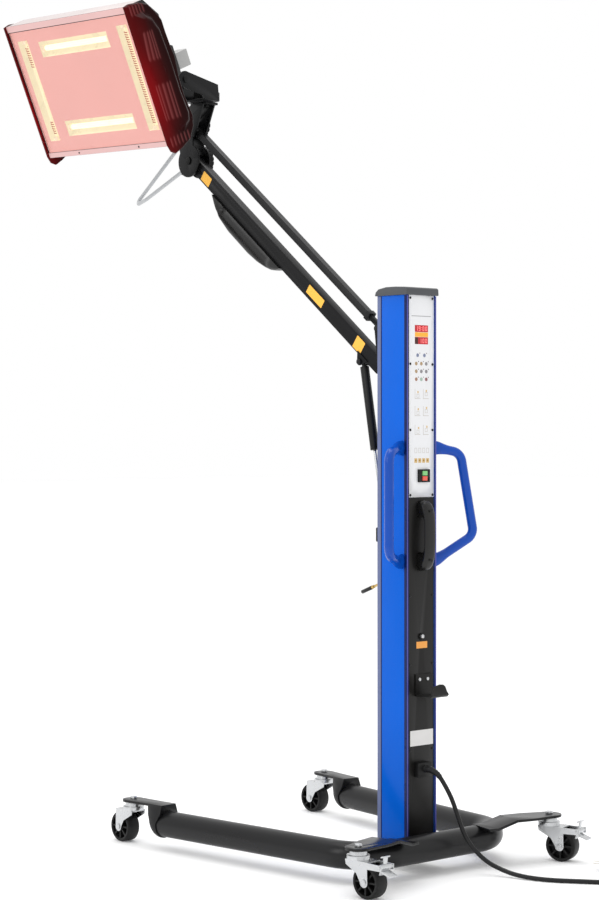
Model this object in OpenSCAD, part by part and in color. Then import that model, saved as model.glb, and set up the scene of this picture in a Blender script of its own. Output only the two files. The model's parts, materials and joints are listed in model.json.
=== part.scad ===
// Infrared paint curing lamp on a wheeled stand.
// The origin is on the floor under the middle of the lamp without its cord, +Z is up,
// the control panel faces -Y and the swing arm leaves the column toward +Y.

/* [Placement] */
// Place of the column's middle along X
column_x = 69.4; // [60:0.1:90]
// Place of the column's middle along Y
column_y = -398.4; // [-420:0.1:-380]

/* [Base] */
// Radius of the base tube
base_tube_r = 32; // [26:0.5:33]
// Wall of the base tube
base_wall = 3; // [2:0.5:5]
// Height of the base tube's middle over the floor
base_z = 61; // [56:1:66]
// Distance of the cross tube in front of the column's middle
cross_y = 99; // [90:1:110]
// Half distance between the legs, measured at the column's middle
leg_half_gap = 240; // [215:1:265]
// Angle by which each leg spreads outward
leg_splay = 6.73; // [4:0.01:9]
// Radius of the bends of the base tube
base_bend_r = 105; // [90:1:120]
// Distance of the front castors ahead of the column's middle
front_castor_y = 650; // [600:5:700]
// Half distance between the rear castors
rear_castor_x = 309; // [300:1:325]
// Distance of the rear castors behind the column's middle
rear_castor_y = 168; // [160:1:180]
// Thickness of the castor brackets
bracket_t = 6; // [4:0.5:8]
// Width of the rear brackets where they leave the tube
bracket_w = 78; // [60:1:86]

/* [Castors] */
// Radius of a castor wheel
wheel_r = 37.5; // [32:0.5:37.5]
// Width of a castor wheel
wheel_w = 36; // [28:1:38]
// Distance from a castor's swivel axis to its wheel axle
castor_trail = 35; // [30:1:38]
// Height of the castor's seat under its bracket
castor_h = 103; // [101:0.5:108]
// Radius of a wheel axle
axle_r = 4; // [3:0.5:5]
// Radius of a castor's swivel bolt
swivel_bolt_r = 5; // [4:0.5:6]
// Thickness of the fork's sheet metal
fork_t = 2.5; // [2:0.5:3]
// Direction in which the front left castor trails
yaw_fl = 90; // [0:1:359]
// Direction in which the front right castor trails
yaw_fr = 93; // [0:1:359]
// Direction in which the rear left castor trails
yaw_rl = 275; // [0:1:359]
// Direction in which the rear right castor trails
yaw_rr = 290; // [0:1:359]

/* [Column] */
// Width of the column
column_w = 96; // [90:1:104]
// Depth of the column
column_d = 100; // [94:1:110]
// Height of the column's top over the floor
column_top = 1341; // [1335:1:1360]
// Thickness of the plate under the column
foot_t = 10; // [8:1:14]
// Wall of the column
column_wall = 4; // [3:0.5:5]
// Height of the end cap
cap_h = 20; // [16:1:26]
// Overhang of the end cap
cap_lip = 4.5; // [3:0.5:6]

/* [Panels] */
// Width of the inset front panels
panel_w = 82; // [78:1:84]
// Thickness of the front panels
panel_t = 3; // [2:0.5:4]
// Depth by which the panels sit behind the column's front edges
panel_inset = 1; // [0.5:0.5:2]
// Height at which the silver panel meets the black one
panel_split = 869; // [866:1:872]
// Radius of a panel screw head
screw_r = 3; // [2.5:0.25:3.5]
// Width of a display window
display_w = 43; // [36:1:48]
// Radius of a keypad key
key_r = 3.8; // [3:0.1:4.4]
// Travel of the start and stop buttons
button_travel = 2; // [1:0.25:3]
// Radius of the overload reset button
reset_r = 4.5; // [3.5:0.25:5.5]

/* [Grips and hook] */
// Width of the front grip's bar
grip_w = 33; // [22:1:36]
// Reach of the front grip in front of the panel
grip_reach = 34.5; // [32:0.5:42]
// Thickness of the front grip's bar
grip_bar = 10; // [8:0.5:11]
// Radius of the blue side handles' tube
side_tube_r = 11; // [8:0.5:12]
// Reach of the side handles from the column's middle
side_reach = 138; // [125:1:150]
// Depth of the cable hook
hook_depth = 58; // [45:1:75]
// Thickness of the cable hook's sheet
hook_t = 3; // [2:0.5:4]

/* [Arm] */
// Distance of the arm's lower pivot behind the column's middle
pivot_y = 71; // [71:0.5:76]
// Height of the arm's lower pivot
pivot_z = 1166.7; // [1150:0.1:1180]
// Length of the arm between its pivots
arm_len = 930; // [880:1:960]
// Angle of the arm over the horizontal
arm_angle = 37.55; // [34:0.05:40]
// Depth of the arm's box section
arm_depth = 37; // [32:0.5:40]
// Width of the arm's box section
arm_w = 24; // [20:0.5:26]
// Wall of the arm and the upper link
arm_wall = 2.5; // [2:0.5:4]
// Offset along Y from the arm's pivots to the upper link's pivots
link_dy = 15; // [10:0.5:18]
// Offset along Z from the arm's pivots to the upper link's pivots
link_dz = 101; // [96:0.5:108]
// Side of the upper link's square tube
link_w = 18; // [15:0.5:20]
// Radius of the arm's pivot pins
pivot_r = 6; // [5:0.25:7]
// Radius of the upper link's pivot pins
link_pin_r = 4; // [3:0.25:5]

/* [Gas spring] */
// Radius of the gas spring's cylinder
gas_r = 10.75; // [9:0.25:11]
// Radius of the gas spring's rod
gas_rod_r = 4; // [3:0.25:5]
// Length of the gas spring's cylinder
gas_body_len = 215; // [190:5:240]
// Place of the upper spring pivot along the arm
gas_top_s = 76; // [70:1:84]
// Distance of the upper spring pivot below the arm's middle line
gas_top_drop = 29; // [27:0.5:32]
// Height of the lower spring pivot
gas_low_z = 777; // [765:1:790]
// Distance of the lower spring pivot behind the column's middle
gas_low_y = 73; // [72:0.5:76]
// Radius of the spring's pivot pins
gas_pin_r = 4; // [3:0.25:5]

/* [Neck and fork] */
// Thickness of the neck's side plates
neck_t = 4; // [3:0.5:5]
// Radius of the neck's round lobes
lobe_r = 43; // [40:0.5:44]
// Thickness of the clamp knobs
knob_t = 13; // [10:0.5:16]
// Distance of the head's swivel axis before the arm's upper pivot
swivel_back = 51.3; // [48:0.1:55]
// Height of the swivel's seat over the arm's upper pivot
swivel_rise = 148.5; // [146:0.5:156]
// Turn of the lamp head about the swivel, from facing -X
head_yaw = 3.2; // [-10:0.1:10]
// Half distance between the fork's arms, outside
fork_half_w = 45; // [43:0.5:48]
// Thickness of the fork's sheet
tilt_fork_t = 5; // [4:0.5:6]
// Reach of the tilt axis from the swivel axis
tilt_reach = 112; // [108:1:120]
// Height of the tilt axis over the swivel seat
tilt_rise = 44; // [42:1:50]
// Radius of the tilt bolt
tilt_bolt_r = 5; // [4:0.5:6]

/* [Lamp head] */
// Downward tilt of the lamp head
head_tilt = 25.1; // [20:0.1:30]
// Roll of the lamp head about its facing direction
head_roll = -1.7; // [-3:0.1:3]
// Reach of the head's front face from the swivel axis
face_reach = 403; // [395:1:410]
// Height of the middle of the head's front face over the swivel's seat
face_rise = 1; // [-6:0.5:8]
// Length of the casing between its side covers
head_w = 464; // [440:2:490]
// Height of the casing
head_h = 352; // [340:2:364]
// Depth of the casing
head_d = 98; // [90:1:104]
// Wall of the casing
head_wall = 2; // [1.5:0.5:3]
// Thickness of the side covers at their rim
cover_rim_t = 10; // [8:0.5:14]
// Thickness of the side covers over their raised middle
cover_t = 28; // [22:1:32]
// Length of a reflector
reflector_len = 273; // [255:1:280]
// Width of a reflector
reflector_w = 46.5; // [42:0.5:48]
// Depth of a reflector
reflector_d = 32; // [26:1:40]
// Place of the two upright reflectors from the middle
upright_u = 193.6; // [188:0.2:198]
// Place of the two lying reflectors from the middle
lying_v = 104.6; // [98:0.2:110]
// Radius of a lamp tube
lamp_r = 5; // [4:0.5:7]
// Thickness of the front glass
glass_t = 3; // [2:0.5:4]
// Radius of the pull handle's wire
wire_r = 5; // [4:0.5:6]

/* [Cord] */
// Diameter of the mains cord
cord_d = 10.5; // [9:0.5:10.5]
// Radius of the coil's outer turn, at the cord's middle
coil_r = 78; // [70:1:84]
// Turns in each layer of the coil
coil_turns = 3.5; // [2.5:1:3.5]
// Gap between neighbouring turns of the coil
coil_gap = 0.5; // [0.45:0.05:1.5]
// Radius of the plug's body
plug_r = 18.5; // [17:0.5:20]

/* [Hidden] */
$fn = 48;
fit = 0.08;
seat_gap = 0.3;
leg_slope = tan(leg_splay);
front_castor_x = leg_half_gap + leg_slope * front_castor_y;
bracket_top = castor_h + bracket_t;
column_z = base_z - 1;
column_front = -column_d / 2;
column_rear = column_d / 2;
panel_face = column_front + panel_inset;
panel_back = panel_face + panel_t;
screw_x = panel_w / 2 - 5;
ledge_half = panel_w / 2 - 9;
ledge_t = 4;
cavity_front = panel_back + ledge_t;
cavity_half = column_w / 2 - column_wall;
rail_t = 3;
rail_half = 20;
ear_in = arm_w / 2 + 1;
ear_t = 4;
arm_end_r = pivot_y - column_rear - rail_t - 0.8;
link_y = pivot_y + link_dy;
link_z = pivot_z + link_dz;
head_pivot_y = pivot_y + arm_len * cos(arm_angle);
head_pivot_z = pivot_z + arm_len * sin(arm_angle);
swivel_y = head_pivot_y - swivel_back;
swivel_z = head_pivot_z + swivel_rise;
face_z = swivel_z + face_rise;
gas_top_y = pivot_y + gas_top_s * cos(arm_angle) + gas_top_drop * sin(arm_angle);
gas_top_z = pivot_z + gas_top_s * sin(arm_angle) - gas_top_drop * cos(arm_angle);
gas_len = norm([gas_top_y - gas_low_y, gas_top_z - gas_low_z]);
gas_lean = atan2(gas_top_y - gas_low_y, gas_top_z - gas_low_z);
gas_eye_r = 8;
gas_lug_t = 3;
gas_slot_y = 9;
gas_slot_z = 5;
neck_in = arm_w / 2 + 4;
neck_out = neck_in + neck_t;
neck_top = swivel_z - seat_gap;
tilt_z = swivel_z + tilt_rise;
tilt_eye_r = 22;
cheek_half = fork_half_w - tilt_fork_t - 1;
cheek_reach = fork_half_w + 15;
panel_seat = glass_t + 3;
cord_r = cord_d / 2;
cord_low = cord_r + 0.25;
inlet_z = 236;
inlet_reach = 14;
collar_reach = 4;

// Route of the free cord from the inlet to the coil, from the column's foot on the floor
route = [
    [0, panel_face - inlet_reach - collar_reach, inlet_z],
    [0, panel_face - inlet_reach - collar_reach - 12, inlet_z],
    [4, -100, 226], [9, -118, 203], [15, -134, 173], [23, -145, 136], [31, -154, 102],
    [42, -165, 72], [55, -179, 49], [67, -200, 30], [79, -228, 17], [88, -264, 9],
    [99, -306, 6], [119, -352, cord_low], [150, -394, cord_low], [184, -437, cord_low],
    [210, -471, cord_low], [229, -496, cord_low], [237, -506.5, cord_low]
];
route_steps = 2;
route_end = route[len(route) - 1];
route_before = route[len(route) - 2];

// Puts column coordinates into the part's frame
module at_column() {
    translate([column_x, column_y, 0]) children();
}

// Extrudes a (Y, Z) outline along X between two places
module slab_x(x0, x1) {
    rotate([90, 0, 90]) translate([0, 0, x0]) linear_extrude(x1 - x0) children();
}

// Extrudes an (X, Z) outline along Y between two places
module slab_y(y0, y1) {
    translate([0, y1, 0]) rotate([90, 0, 0]) linear_extrude(y1 - y0) children();
}

// Box given by its two corners
module box(low, high) {
    translate(low) cube(high - low);
}

// Cylinder along X, Y or Z between two places
module rod_x(x0, x1, y, z, r) {
    translate([x0, y, z]) rotate([0, 90, 0]) cylinder(h = x1 - x0, r = r);
}
module rod_y(y0, y1, x, z, r) {
    translate([x, y0, z]) rotate([-90, 0, 0]) cylinder(h = y1 - y0, r = r);
}

function unit(v) = v / norm(v);

// Cylinder between any two points
module rod(a, b, r) {
    d = b - a;
    translate(a) rotate([0, acos(d[2] / norm(d)), atan2(d[1], d[0])]) cylinder(h = norm(d), r = r);
}

// Tube swept along points: rings of equal sides joined by triangles, kept square to a reference
function path_dir(p, i) = unit(p[min(i + 1, len(p) - 1)] - p[max(i - 1, 0)]);
function ring(p, i, r, sides, ref) =
    let (t = path_dir(p, i), b = unit(ref - t * (t * ref)), a = cross(t, b))
    [for (k = [0 : sides - 1]) p[i] + r * (cos(360 * k / sides) * a + sin(360 * k / sides) * b)];

module swept_tube(p, r, sides, ref) {
    n = len(p);
    points = [for (i = [0 : n - 1]) each ring(p, i, r, sides, ref)];
    walls = [for (i = [0 : n - 2], k = [0 : sides - 1])
        let (a = i * sides + k, b = i * sides + (k + 1) % sides)
        each [[a, b, b + sides], [a, b + sides, a + sides]]];
    start = [for (k = [1 : sides - 2]) [0, k + 1, k]];
    end = [for (k = [1 : sides - 2]) [0, k, k + 1] + (n - 1) * sides * [1, 1, 1]];
    polyhedron(points = points, faces = concat(walls, start, end), convexity = 10);
}

// Pipe swept the same way, open at both ends
module swept_pipe(p, r, r_in, sides, ref) {
    n = len(p);
    inner = n * sides;
    last = (n - 1) * sides;
    points = concat([for (i = [0 : n - 1]) each ring(p, i, r, sides, ref)],
        [for (i = [0 : n - 1]) each ring(p, i, r_in, sides, ref)]);
    walls = [for (i = [0 : n - 2], k = [0 : sides - 1])
        let (a = i * sides + k, b = i * sides + (k + 1) % sides)
        each [[a, b, b + sides], [a, b + sides, a + sides],
            [inner + a, inner + b + sides, inner + b], [inner + a, inner + a + sides, inner + b + sides]]];
    ends = [for (k = [0 : sides - 1]) let (m = (k + 1) % sides)
        each [[k, inner + k, inner + m], [k, inner + m, m],
            [last + k, last + m, inner + last + m], [last + k, inner + last + m, inner + last + k]]];
    polyhedron(points = points, faces = concat(walls, ends), convexity = 10);
}

// Points along straight runs whose corners are rounded by arcs
function corner_arc(p, i, bend_r, steps) =
    let (d1 = unit(p[i] - p[i - 1]), d2 = unit(p[i + 1] - p[i]), turn = acos(d1 * d2),
        side = unit(d2 - d1 * (d1 * d2)), mid = p[i] - d1 * bend_r * tan(turn / 2) + side * bend_r)
    [for (k = [0 : steps]) mid + bend_r * (sin(turn * k / steps) * d1 - cos(turn * k / steps) * side)];
function rounded_path(p, bend_r, steps) = concat([p[0]],
    [for (i = [1 : len(p) - 2]) each corner_arc(p, i, bend_r, steps)], [p[len(p) - 1]]);

// Base tube, bent to a U that opens toward +Y
leg_end_gap = 113;
leg_end_y = front_castor_y - leg_end_gap * cos(leg_splay);
function leg_x(y) = leg_half_gap + leg_slope * y;
base_corners = [
    [-leg_x(leg_end_y), leg_end_y, base_z], [-leg_x(-cross_y), -cross_y, base_z],
    [leg_x(-cross_y), -cross_y, base_z], [leg_x(leg_end_y), leg_end_y, base_z]
];
base_path = rounded_path(base_corners, base_bend_r, 8);
base_sides = 28;
module base_tube(r) {
    swept_tube(base_path, r, base_sides, [0, 0, 1]);
}

module base_frame() {
    at_column() color([0.05, 0.05, 0.055])
        swept_pipe(base_path, base_tube_r, base_tube_r - base_wall, base_sides, [0, 0, 1]);
}

// Bracket that carries a front castor: leaning end plate, short hood and tongue, at the swivel axis
module front_bracket() {
    plate_r = base_tube_r + 3;
    plate_t = 5;
    tube_end = -leg_end_gap;
    foot_y = tube_end + 6;
    head_y = tube_end + 36;
    hood_y = tube_end - 12;
    rotate([0, 0, -leg_splay]) difference() {
        union() {
            intersection() {
                slab_x(-plate_r, plate_r) polygon([[tube_end, base_z - plate_r], [foot_y, base_z - plate_r],
                    [head_y, bracket_top - 4], [head_y, bracket_top], [hood_y, bracket_top],
                    [hood_y, base_z + 26], [tube_end, base_z + 4]]);
                slab_y(hood_y, head_y) union() {
                    translate([0, base_z]) circle(r = plate_r);
                    polygon([[-plate_r, base_z], [3 - plate_r, base_z + 24], [-24, bracket_top],
                        [24, bracket_top], [plate_r - 3, base_z + 24], [plate_r, base_z]]);
                }
            }
            translate([0, 0, castor_h]) linear_extrude(bracket_t) union() {
                circle(r = 27);
                polygon([[-26.5, -4], [-24, head_y], [24, head_y], [26.5, -4]]);
            }
        }
        rod_y(hood_y - 1, tube_end, 0, base_z, base_tube_r + 0.02);
        intersection() {
            rod_y(tube_end - 1, head_y, 0, base_z, base_tube_r - base_wall);
            slab_x(-plate_r, plate_r) polygon([
                [tube_end - 1, base_z - plate_r], [foot_y - plate_t, base_z - plate_r],
                [head_y - plate_t, bracket_top], [tube_end - 1, bracket_top]]);
        }
        translate([0, 0, castor_h - 1]) cylinder(h = bracket_t + 2, r = swivel_bolt_r);
    }
}

// Cranked plate that carries a rear castor, drawn at the swivel axis toward +X
module rear_bracket() {
    crank_x = 112;
    crank_drop = 15;
    crank_len = 52;
    tab_len = 26;
    reach = crank_x + crank_len + tab_len;
    end_r = 30;
    difference() {
        intersection() {
            slab_y(-bracket_w / 2, bracket_w / 2) polygon([
                [-end_r - 2, castor_h], [crank_x, castor_h],
                [crank_x + crank_len, castor_h - crank_drop], [reach, castor_h - crank_drop],
                [reach, bracket_top - crank_drop], [crank_x + crank_len + 2, bracket_top - crank_drop],
                [crank_x + 2, bracket_top], [-end_r - 2, bracket_top]]);
            linear_extrude(castor_h + 20) union() {
                circle(r = end_r);
                polygon([[4, -end_r + 0.4], [58, -bracket_w / 2], [reach, -bracket_w / 2],
                    [reach, bracket_w / 2], [58, bracket_w / 2], [4, end_r - 0.4]]);
            }
        }
        translate([0, 0, castor_h - 1]) cylinder(h = bracket_t + 2, r = swivel_bolt_r);
    }
}

rear_bracket_turn = 14;

// Four castor brackets, welded to the base tube
module castor_brackets() {
    at_column() color([0.05, 0.05, 0.055]) for (side = [-1, 1]) {
        difference() {
            translate([side * rear_castor_x, -rear_castor_y, 0])
                mirror([side > 0 ? 1 : 0, 0, 0]) rotate([0, 0, rear_bracket_turn]) rear_bracket();
            base_tube(base_tube_r);
        }
        translate([side * front_castor_x, front_castor_y, 0])
            mirror([side < 0 ? 1 : 0, 0, 0]) front_bracket();
    }
}

// Fasteners of the stand: four castor stems, four foot bolts and the front's eighteen screws
foot_bolt_x = 26;
foot_bolt_y = 34;
module stand_fasteners() {
    hook_screws = [[-9, 444], [17, 444]];
    grip_screws = [[0, grip_top - 23], [0, grip_low + 25]];
    places = [
        [-front_castor_x, front_castor_y], [front_castor_x, front_castor_y],
        [-rear_castor_x, -rear_castor_y], [rear_castor_x, -rear_castor_y]
    ];
    at_column() color("silver") {
        for (p = places) translate(p) {
            translate([0, 0, castor_h - 24]) cylinder(h = 24 + bracket_t, r = swivel_bolt_r);
            translate([0, 0, bracket_top]) cylinder(h = 6.5, r = 9, $fn = 6);
            translate([0, 0, castor_h - 26 - seat_gap]) cylinder(h = 3, r = 9);
        }
        for (x = [-foot_bolt_x, foot_bolt_x], y = [-foot_bolt_y, foot_bolt_y])
            translate([x, y, column_z - foot_t - 5]) cylinder(h = 5, r = 7, $fn = 6);
        for (z = concat(screw_z, low_screw_z), x = [-screw_x, screw_x])
            rod_y(panel_face - 1.2, panel_face, x, z, screw_r);
        for (p = hook_screws) rod_y(panel_face - hook_t - 2, panel_face - hook_t, p[0], p[1], 4);
        for (p = grip_screws) rod_y(panel_face - grip_reach - 1, panel_face - grip_reach, p[0], p[1], 3.5);
    }
}

// Plate and web that hold the column on the cross tube
module column_foot() {
    half = column_w / 2 + 8;
    plate_z = column_z - foot_t;
    at_column() color([0.05, 0.05, 0.055]) difference() {
        union() {
            box([-half, -cross_y, plate_z], [half, column_rear + 4, column_z]);
            for (x = [-1, 1]) box([x * 40 - 3, -cross_y, plate_z - 18], [x * 40 + 3, 10, plate_z]);
        }
        base_tube(base_tube_r);
        box([-half - 1, -cross_y - 1, plate_z - 30], [half + 1, -cross_y, column_z + 1]);
    }
}

// Castor parts, drawn with the swivel axis on Z and the wheel trailing toward +X
fork_in = wheel_w / 2 + 1;
fork_out = fork_in + fork_t;
crown_z = castor_h - 23;
brake_x = castor_trail + 45;
brake_z = wheel_r + 38.5;
brake_pin_r = 2.5;

module castor_fork(braked) {
    crown_reach = castor_trail + 10;
    color("silver") difference() {
        union() {
            box([-20, -fork_out, crown_z], [crown_reach, fork_out, crown_z + 3]);
            translate([0, 0, crown_z + 3]) cylinder(h = 9, r = 26);
            translate([0, 0, crown_z + 12]) cylinder(h = castor_h - seat_gap - crown_z - 12, r = 20);
            for (side = [-1, 1]) mirror([0, side < 0 ? 1 : 0, 0]) slab_y(fork_in, fork_out) union() {
                polygon([[-20, crown_z + 3], [-18, crown_z - 8],
                    [castor_trail - 22, wheel_r + 18], [castor_trail - 11, wheel_r],
                    [castor_trail + 10.5, wheel_r + 3], [crown_reach, crown_z + 3]]);
                translate([castor_trail, wheel_r]) circle(r = 11);
                if (braked) polygon([[15, crown_z + 3], [brake_x + 6, brake_z + 5],
                    [brake_x + 6, brake_z - 8], [15, crown_z - 12]]);
            }
        }
        translate([0, 0, crown_z - 1]) cylinder(h = 30, r = swivel_bolt_r + fit);
        rod_y(-fork_out - 1, fork_out + 1, castor_trail, wheel_r, axle_r);
        if (braked) rod_y(-fork_out - 1, fork_out + 1, brake_x, brake_z, brake_pin_r);
    }
}

module castor_axle(braked) {
    color("silver") {
        rod_y(-fork_out, fork_out, castor_trail, wheel_r, axle_r);
        for (y = [-fork_out - 2.5, fork_out]) rod_y(y, y + 2.5, castor_trail, wheel_r, 7);
        if (braked) {
            rod_y(-fork_out, fork_out, brake_x, brake_z, brake_pin_r);
            for (y = [-fork_out - 1, fork_out]) rod_y(y, y + 1, brake_x, brake_z, 4);
        }
    }
}

module castor_wheel() {
    half = wheel_w / 2;
    rim_r = wheel_r - 8;
    color([0.03, 0.03, 0.03]) translate([castor_trail, 0, wheel_r]) rotate([90, 0, 0]) difference() {
        union() {
            rotate_extrude() polygon([[rim_r, -half + 1], [wheel_r - 3, -half], [wheel_r - 1, -half + 2],
                [wheel_r, -half + 5], [wheel_r, half - 5], [wheel_r - 1, half - 2],
                [wheel_r - 3, half], [rim_r, half - 1]]);
            cylinder(h = 5, r = rim_r + 0.5, center = true);
            cylinder(h = wheel_w + 1, r = 10, center = true);
            for (i = [0 : 7]) rotate([0, 0, 45 * i]) translate([9, -2, -half + 2])
                cube([rim_r - 8.5, 4, wheel_w - 4]);
        }
        cylinder(h = wheel_w + 4, r = axle_r + fit, center = true);
    }
}

module brake_pedal() {
    half = fork_in - 0.5;
    color("silver") translate([brake_x, 0, brake_z]) difference() {
        union() {
            rod_y(-half, half, 0, 0, 6);
            slab_y(-6, 6) polygon([[-4, 0], [-1, 0], [2, 20], [-1, 20]]);
            slab_y(-10, 10) polygon([[-5, 19], [5, 21], [5, 24], [-5, 22]]);
            slab_y(-13, 13) polygon([[-4, -4], [-3, -11], [22, -20], [23, -17], [0, -8], [2, -3]]);
            slab_y(-11, 11) polygon([[-4, -3], [-9.5, -18.5], [-6.5, -19], [1, -4]]);
        }
        rod_y(-half - 1, half + 1, 0, 0, brake_pin_r + fit);
    }
}

module at_castor(place, yaw) {
    at_column() translate(place) rotate([0, 0, yaw]) children();
}
place_fl = [-front_castor_x, front_castor_y, 0];
place_fr = [front_castor_x, front_castor_y, 0];
place_rl = [-rear_castor_x, -rear_castor_y, 0];
place_rr = [rear_castor_x, -rear_castor_y, 0];

module castor_fork_fl() { at_castor(place_fl, yaw_fl) castor_fork(false); }
module castor_fork_fr() { at_castor(place_fr, yaw_fr) castor_fork(false); }
module castor_fork_rl() { at_castor(place_rl, yaw_rl) castor_fork(true); }
module castor_fork_rr() { at_castor(place_rr, yaw_rr) castor_fork(true); }
module castor_axle_fl() { at_castor(place_fl, yaw_fl) castor_axle(false); }
module castor_axle_fr() { at_castor(place_fr, yaw_fr) castor_axle(false); }
module castor_axle_rl() { at_castor(place_rl, yaw_rl) castor_axle(true); }
module castor_axle_rr() { at_castor(place_rr, yaw_rr) castor_axle(true); }
module castor_wheel_fl() { at_castor(place_fl, yaw_fl) castor_wheel(); }
module castor_wheel_fr() { at_castor(place_fr, yaw_fr) castor_wheel(); }
module castor_wheel_rl() { at_castor(place_rl, yaw_rl) castor_wheel(); }
module castor_wheel_rr() { at_castor(place_rr, yaw_rr) castor_wheel(); }
module brake_pedal_rl() { at_castor(place_rl, yaw_rl) brake_pedal(); }
module brake_pedal_rr() { at_castor(place_rr, yaw_rr) brake_pedal(); }

// Extruded column, open in front where the panels sit on its two ledges
module column_profile() {
    half = column_w / 2;
    edge = 4;
    at_column() color([0.03, 0.16, 0.62]) translate([0, 0, column_z])
        linear_extrude(column_top - column_z) difference() {
            polygon([[-half, column_rear], [-half, column_front + edge], [-half + edge, column_front],
                [half - edge, column_front], [half, column_front + edge], [half, column_rear]]);
            translate([-panel_w / 2, column_front - 1]) square([panel_w, panel_back - column_front + 1]);
            translate([-ledge_half, column_front]) square([2 * ledge_half, column_d / 2]);
            translate([-cavity_half, cavity_front])
                square([2 * cavity_half, column_rear - column_wall - cavity_front]);
        }
}

module column_cap() {
    front = column_front - cap_lip;
    rear = column_rear + cap_lip + 1;
    top = column_top + cap_h;
    at_column() color([0.04, 0.04, 0.045]) {
        slab_x(-column_w / 2 - cap_lip, column_w / 2 + cap_lip) polygon([
            [front, column_top], [front + 1, top - 5], [front + 5, top - 2], [-12, top], [18, top],
            [rear - 12, top - 4], [rear - 3, top - 11], [rear, column_top]]);
        box([-cavity_half + 1, cavity_front + 1, column_top - 10],
            [cavity_half - 1, column_rear - column_wall - 1, column_top]);
    }
}

// Things on the silver panel, as places in the panel's plane
screw_z = [column_top - 7, column_top - 161, column_top - 315, panel_split + 5];
low_screw_z = [panel_split - 230, panel_split - 390, panel_split - 590];
display_z = [[column_top - 86, column_top - 70], [column_top - 114.5, column_top - 98]];
display_left = -21;
switch_low = [-12, panel_split + 35];
switch_size = [36, 30];
key_places = concat([for (x = [-12, 9]) [x, column_top - 140]],
    [for (drop = [160, 178.5, 197], x = [-17, -1, 15]) [x, column_top - drop]]);

module control_panel() {
    at_column() color([0.75, 0.76, 0.78]) slab_y(panel_face, panel_back) difference() {
        translate([-panel_w / 2, panel_split]) square([panel_w, column_top - panel_split]);
        for (z = display_z) translate([display_left, z[0]]) square([display_w, z[1] - z[0]]);
        translate(switch_low + [3, 3]) square(switch_size - [6, 6]);
    }
}

module lower_panel() {
    at_column() color([0.04, 0.04, 0.045]) slab_y(panel_face, panel_back) difference() {
        translate([-panel_w / 2, column_z]) square([panel_w, panel_split - column_z]);
        translate([0, reset_z]) circle(r = reset_r + 1.5);
    }
}

module display_windows() {
    at_column() color([0.35, 0.0, 0.0]) for (z = display_z)
        box([display_left + 0.1, panel_face + 0.2, z[0] + 0.1],
            [display_left + display_w - 0.1, panel_back, z[1] - 0.1]);
}

// Eleven round keys, each with its small lamp, on the panel's face
module keypad() {
    at_column() for (i = [0 : len(key_places) - 1]) {
        p = key_places[i];
        color(i < 2 ? "silver" : i == 9 ? "green" : i > 7 ? "red" : "orange")
            rod_y(panel_face - 1.5, panel_face, p[0], p[1], key_r);
        color("red") rod_y(panel_face - 0.8, panel_face, p[0] + key_r + 2.2, p[1] + 3.5, 1.2);
    }
}

button_w = 15;
button_h = 10.5;
button_mid_x = switch_low[0] + switch_size[0] / 2;
button_mid_z = switch_low[1] + switch_size[1] / 2;
switch_face = panel_face - 5;
button_depth = 8;

module button_outline(place, grow) {
    translate([button_mid_x - (button_w + grow) / 2, button_mid_z + place - grow / 2])
        square([button_w + grow, button_h + grow]);
}

module switch_housing() {
    at_column() color([0.03, 0.03, 0.03]) difference() {
        union() {
            slab_y(switch_face, panel_face) translate(switch_low) square(switch_size);
            slab_y(panel_face, panel_back + 24) translate(switch_low + [3.2, 3.2])
                square(switch_size - [6.4, 6.4]);
        }
        slab_y(switch_face - 1, switch_face + button_depth) {
            button_outline(0.75, 0.6);
            button_outline(-0.75 - button_h, 0.6);
        }
    }
}

module start_button() {
    at_column() color([0.05, 0.6, 0.2])
        slab_y(switch_face - 2.5, switch_face + button_depth - button_travel - seat_gap)
            button_outline(0.75, 0);
}

module stop_button() {
    at_column() color([0.8, 0.05, 0.05])
        slab_y(switch_face - 2.5, switch_face + button_depth - button_travel - seat_gap)
            button_outline(-0.75 - button_h, 0);
}

// Bow grip on the lower panel, its bar stands clear of the panel for the fingers
grip_top = panel_split - 7;
grip_low = grip_top - 165;
grip_gap_low = grip_low + 44;
grip_gap_top = grip_top - 40;
module front_grip() {
    bar_y = panel_face - grip_reach;
    gap_y = bar_y + grip_bar;
    at_column() color([0.04, 0.04, 0.045]) {
        slab_x(-grip_w / 2, grip_w / 2) difference() {
            polygon([[panel_face, grip_low + 4], [panel_face, grip_top - 4], [bar_y + 12, grip_top - 4],
                [bar_y + 3, grip_top - 9], [bar_y, grip_top - 17], [bar_y, grip_low + 17],
                [bar_y + 3, grip_low + 9], [bar_y + 12, grip_low + 4]]);
            polygon([[panel_face + 1, grip_gap_low], [panel_face + 1, grip_gap_top],
                [gap_y + 6, grip_gap_top], [gap_y, grip_gap_top - 8], [gap_y, grip_gap_low + 8],
                [gap_y + 6, grip_gap_low]]);
        }
        for (side = [-1, 1], z = [grip_low, grip_top - 34])
            box([min(side * grip_w / 2, side * 20), panel_face - 5, z],
                [max(side * grip_w / 2, side * 20), panel_face, z + 34]);
    }
}

reset_z = 544;
module reset_collar() {
    at_column() color([0.1, 0.1, 0.1]) difference() {
        union() {
            rod_y(panel_face - 3, panel_face, 0, reset_z, reset_r + 3);
            rod_y(panel_face, panel_back + 22, 0, reset_z, reset_r + 1.5);
        }
        rod_y(panel_face - 4, panel_face + 6, 0, reset_z, reset_r + fit);
    }
}

module reset_button() {
    at_column() color([0.02, 0.02, 0.02])
        rod_y(panel_face - 6, panel_face + 4, 0, reset_z, reset_r);
}

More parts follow.
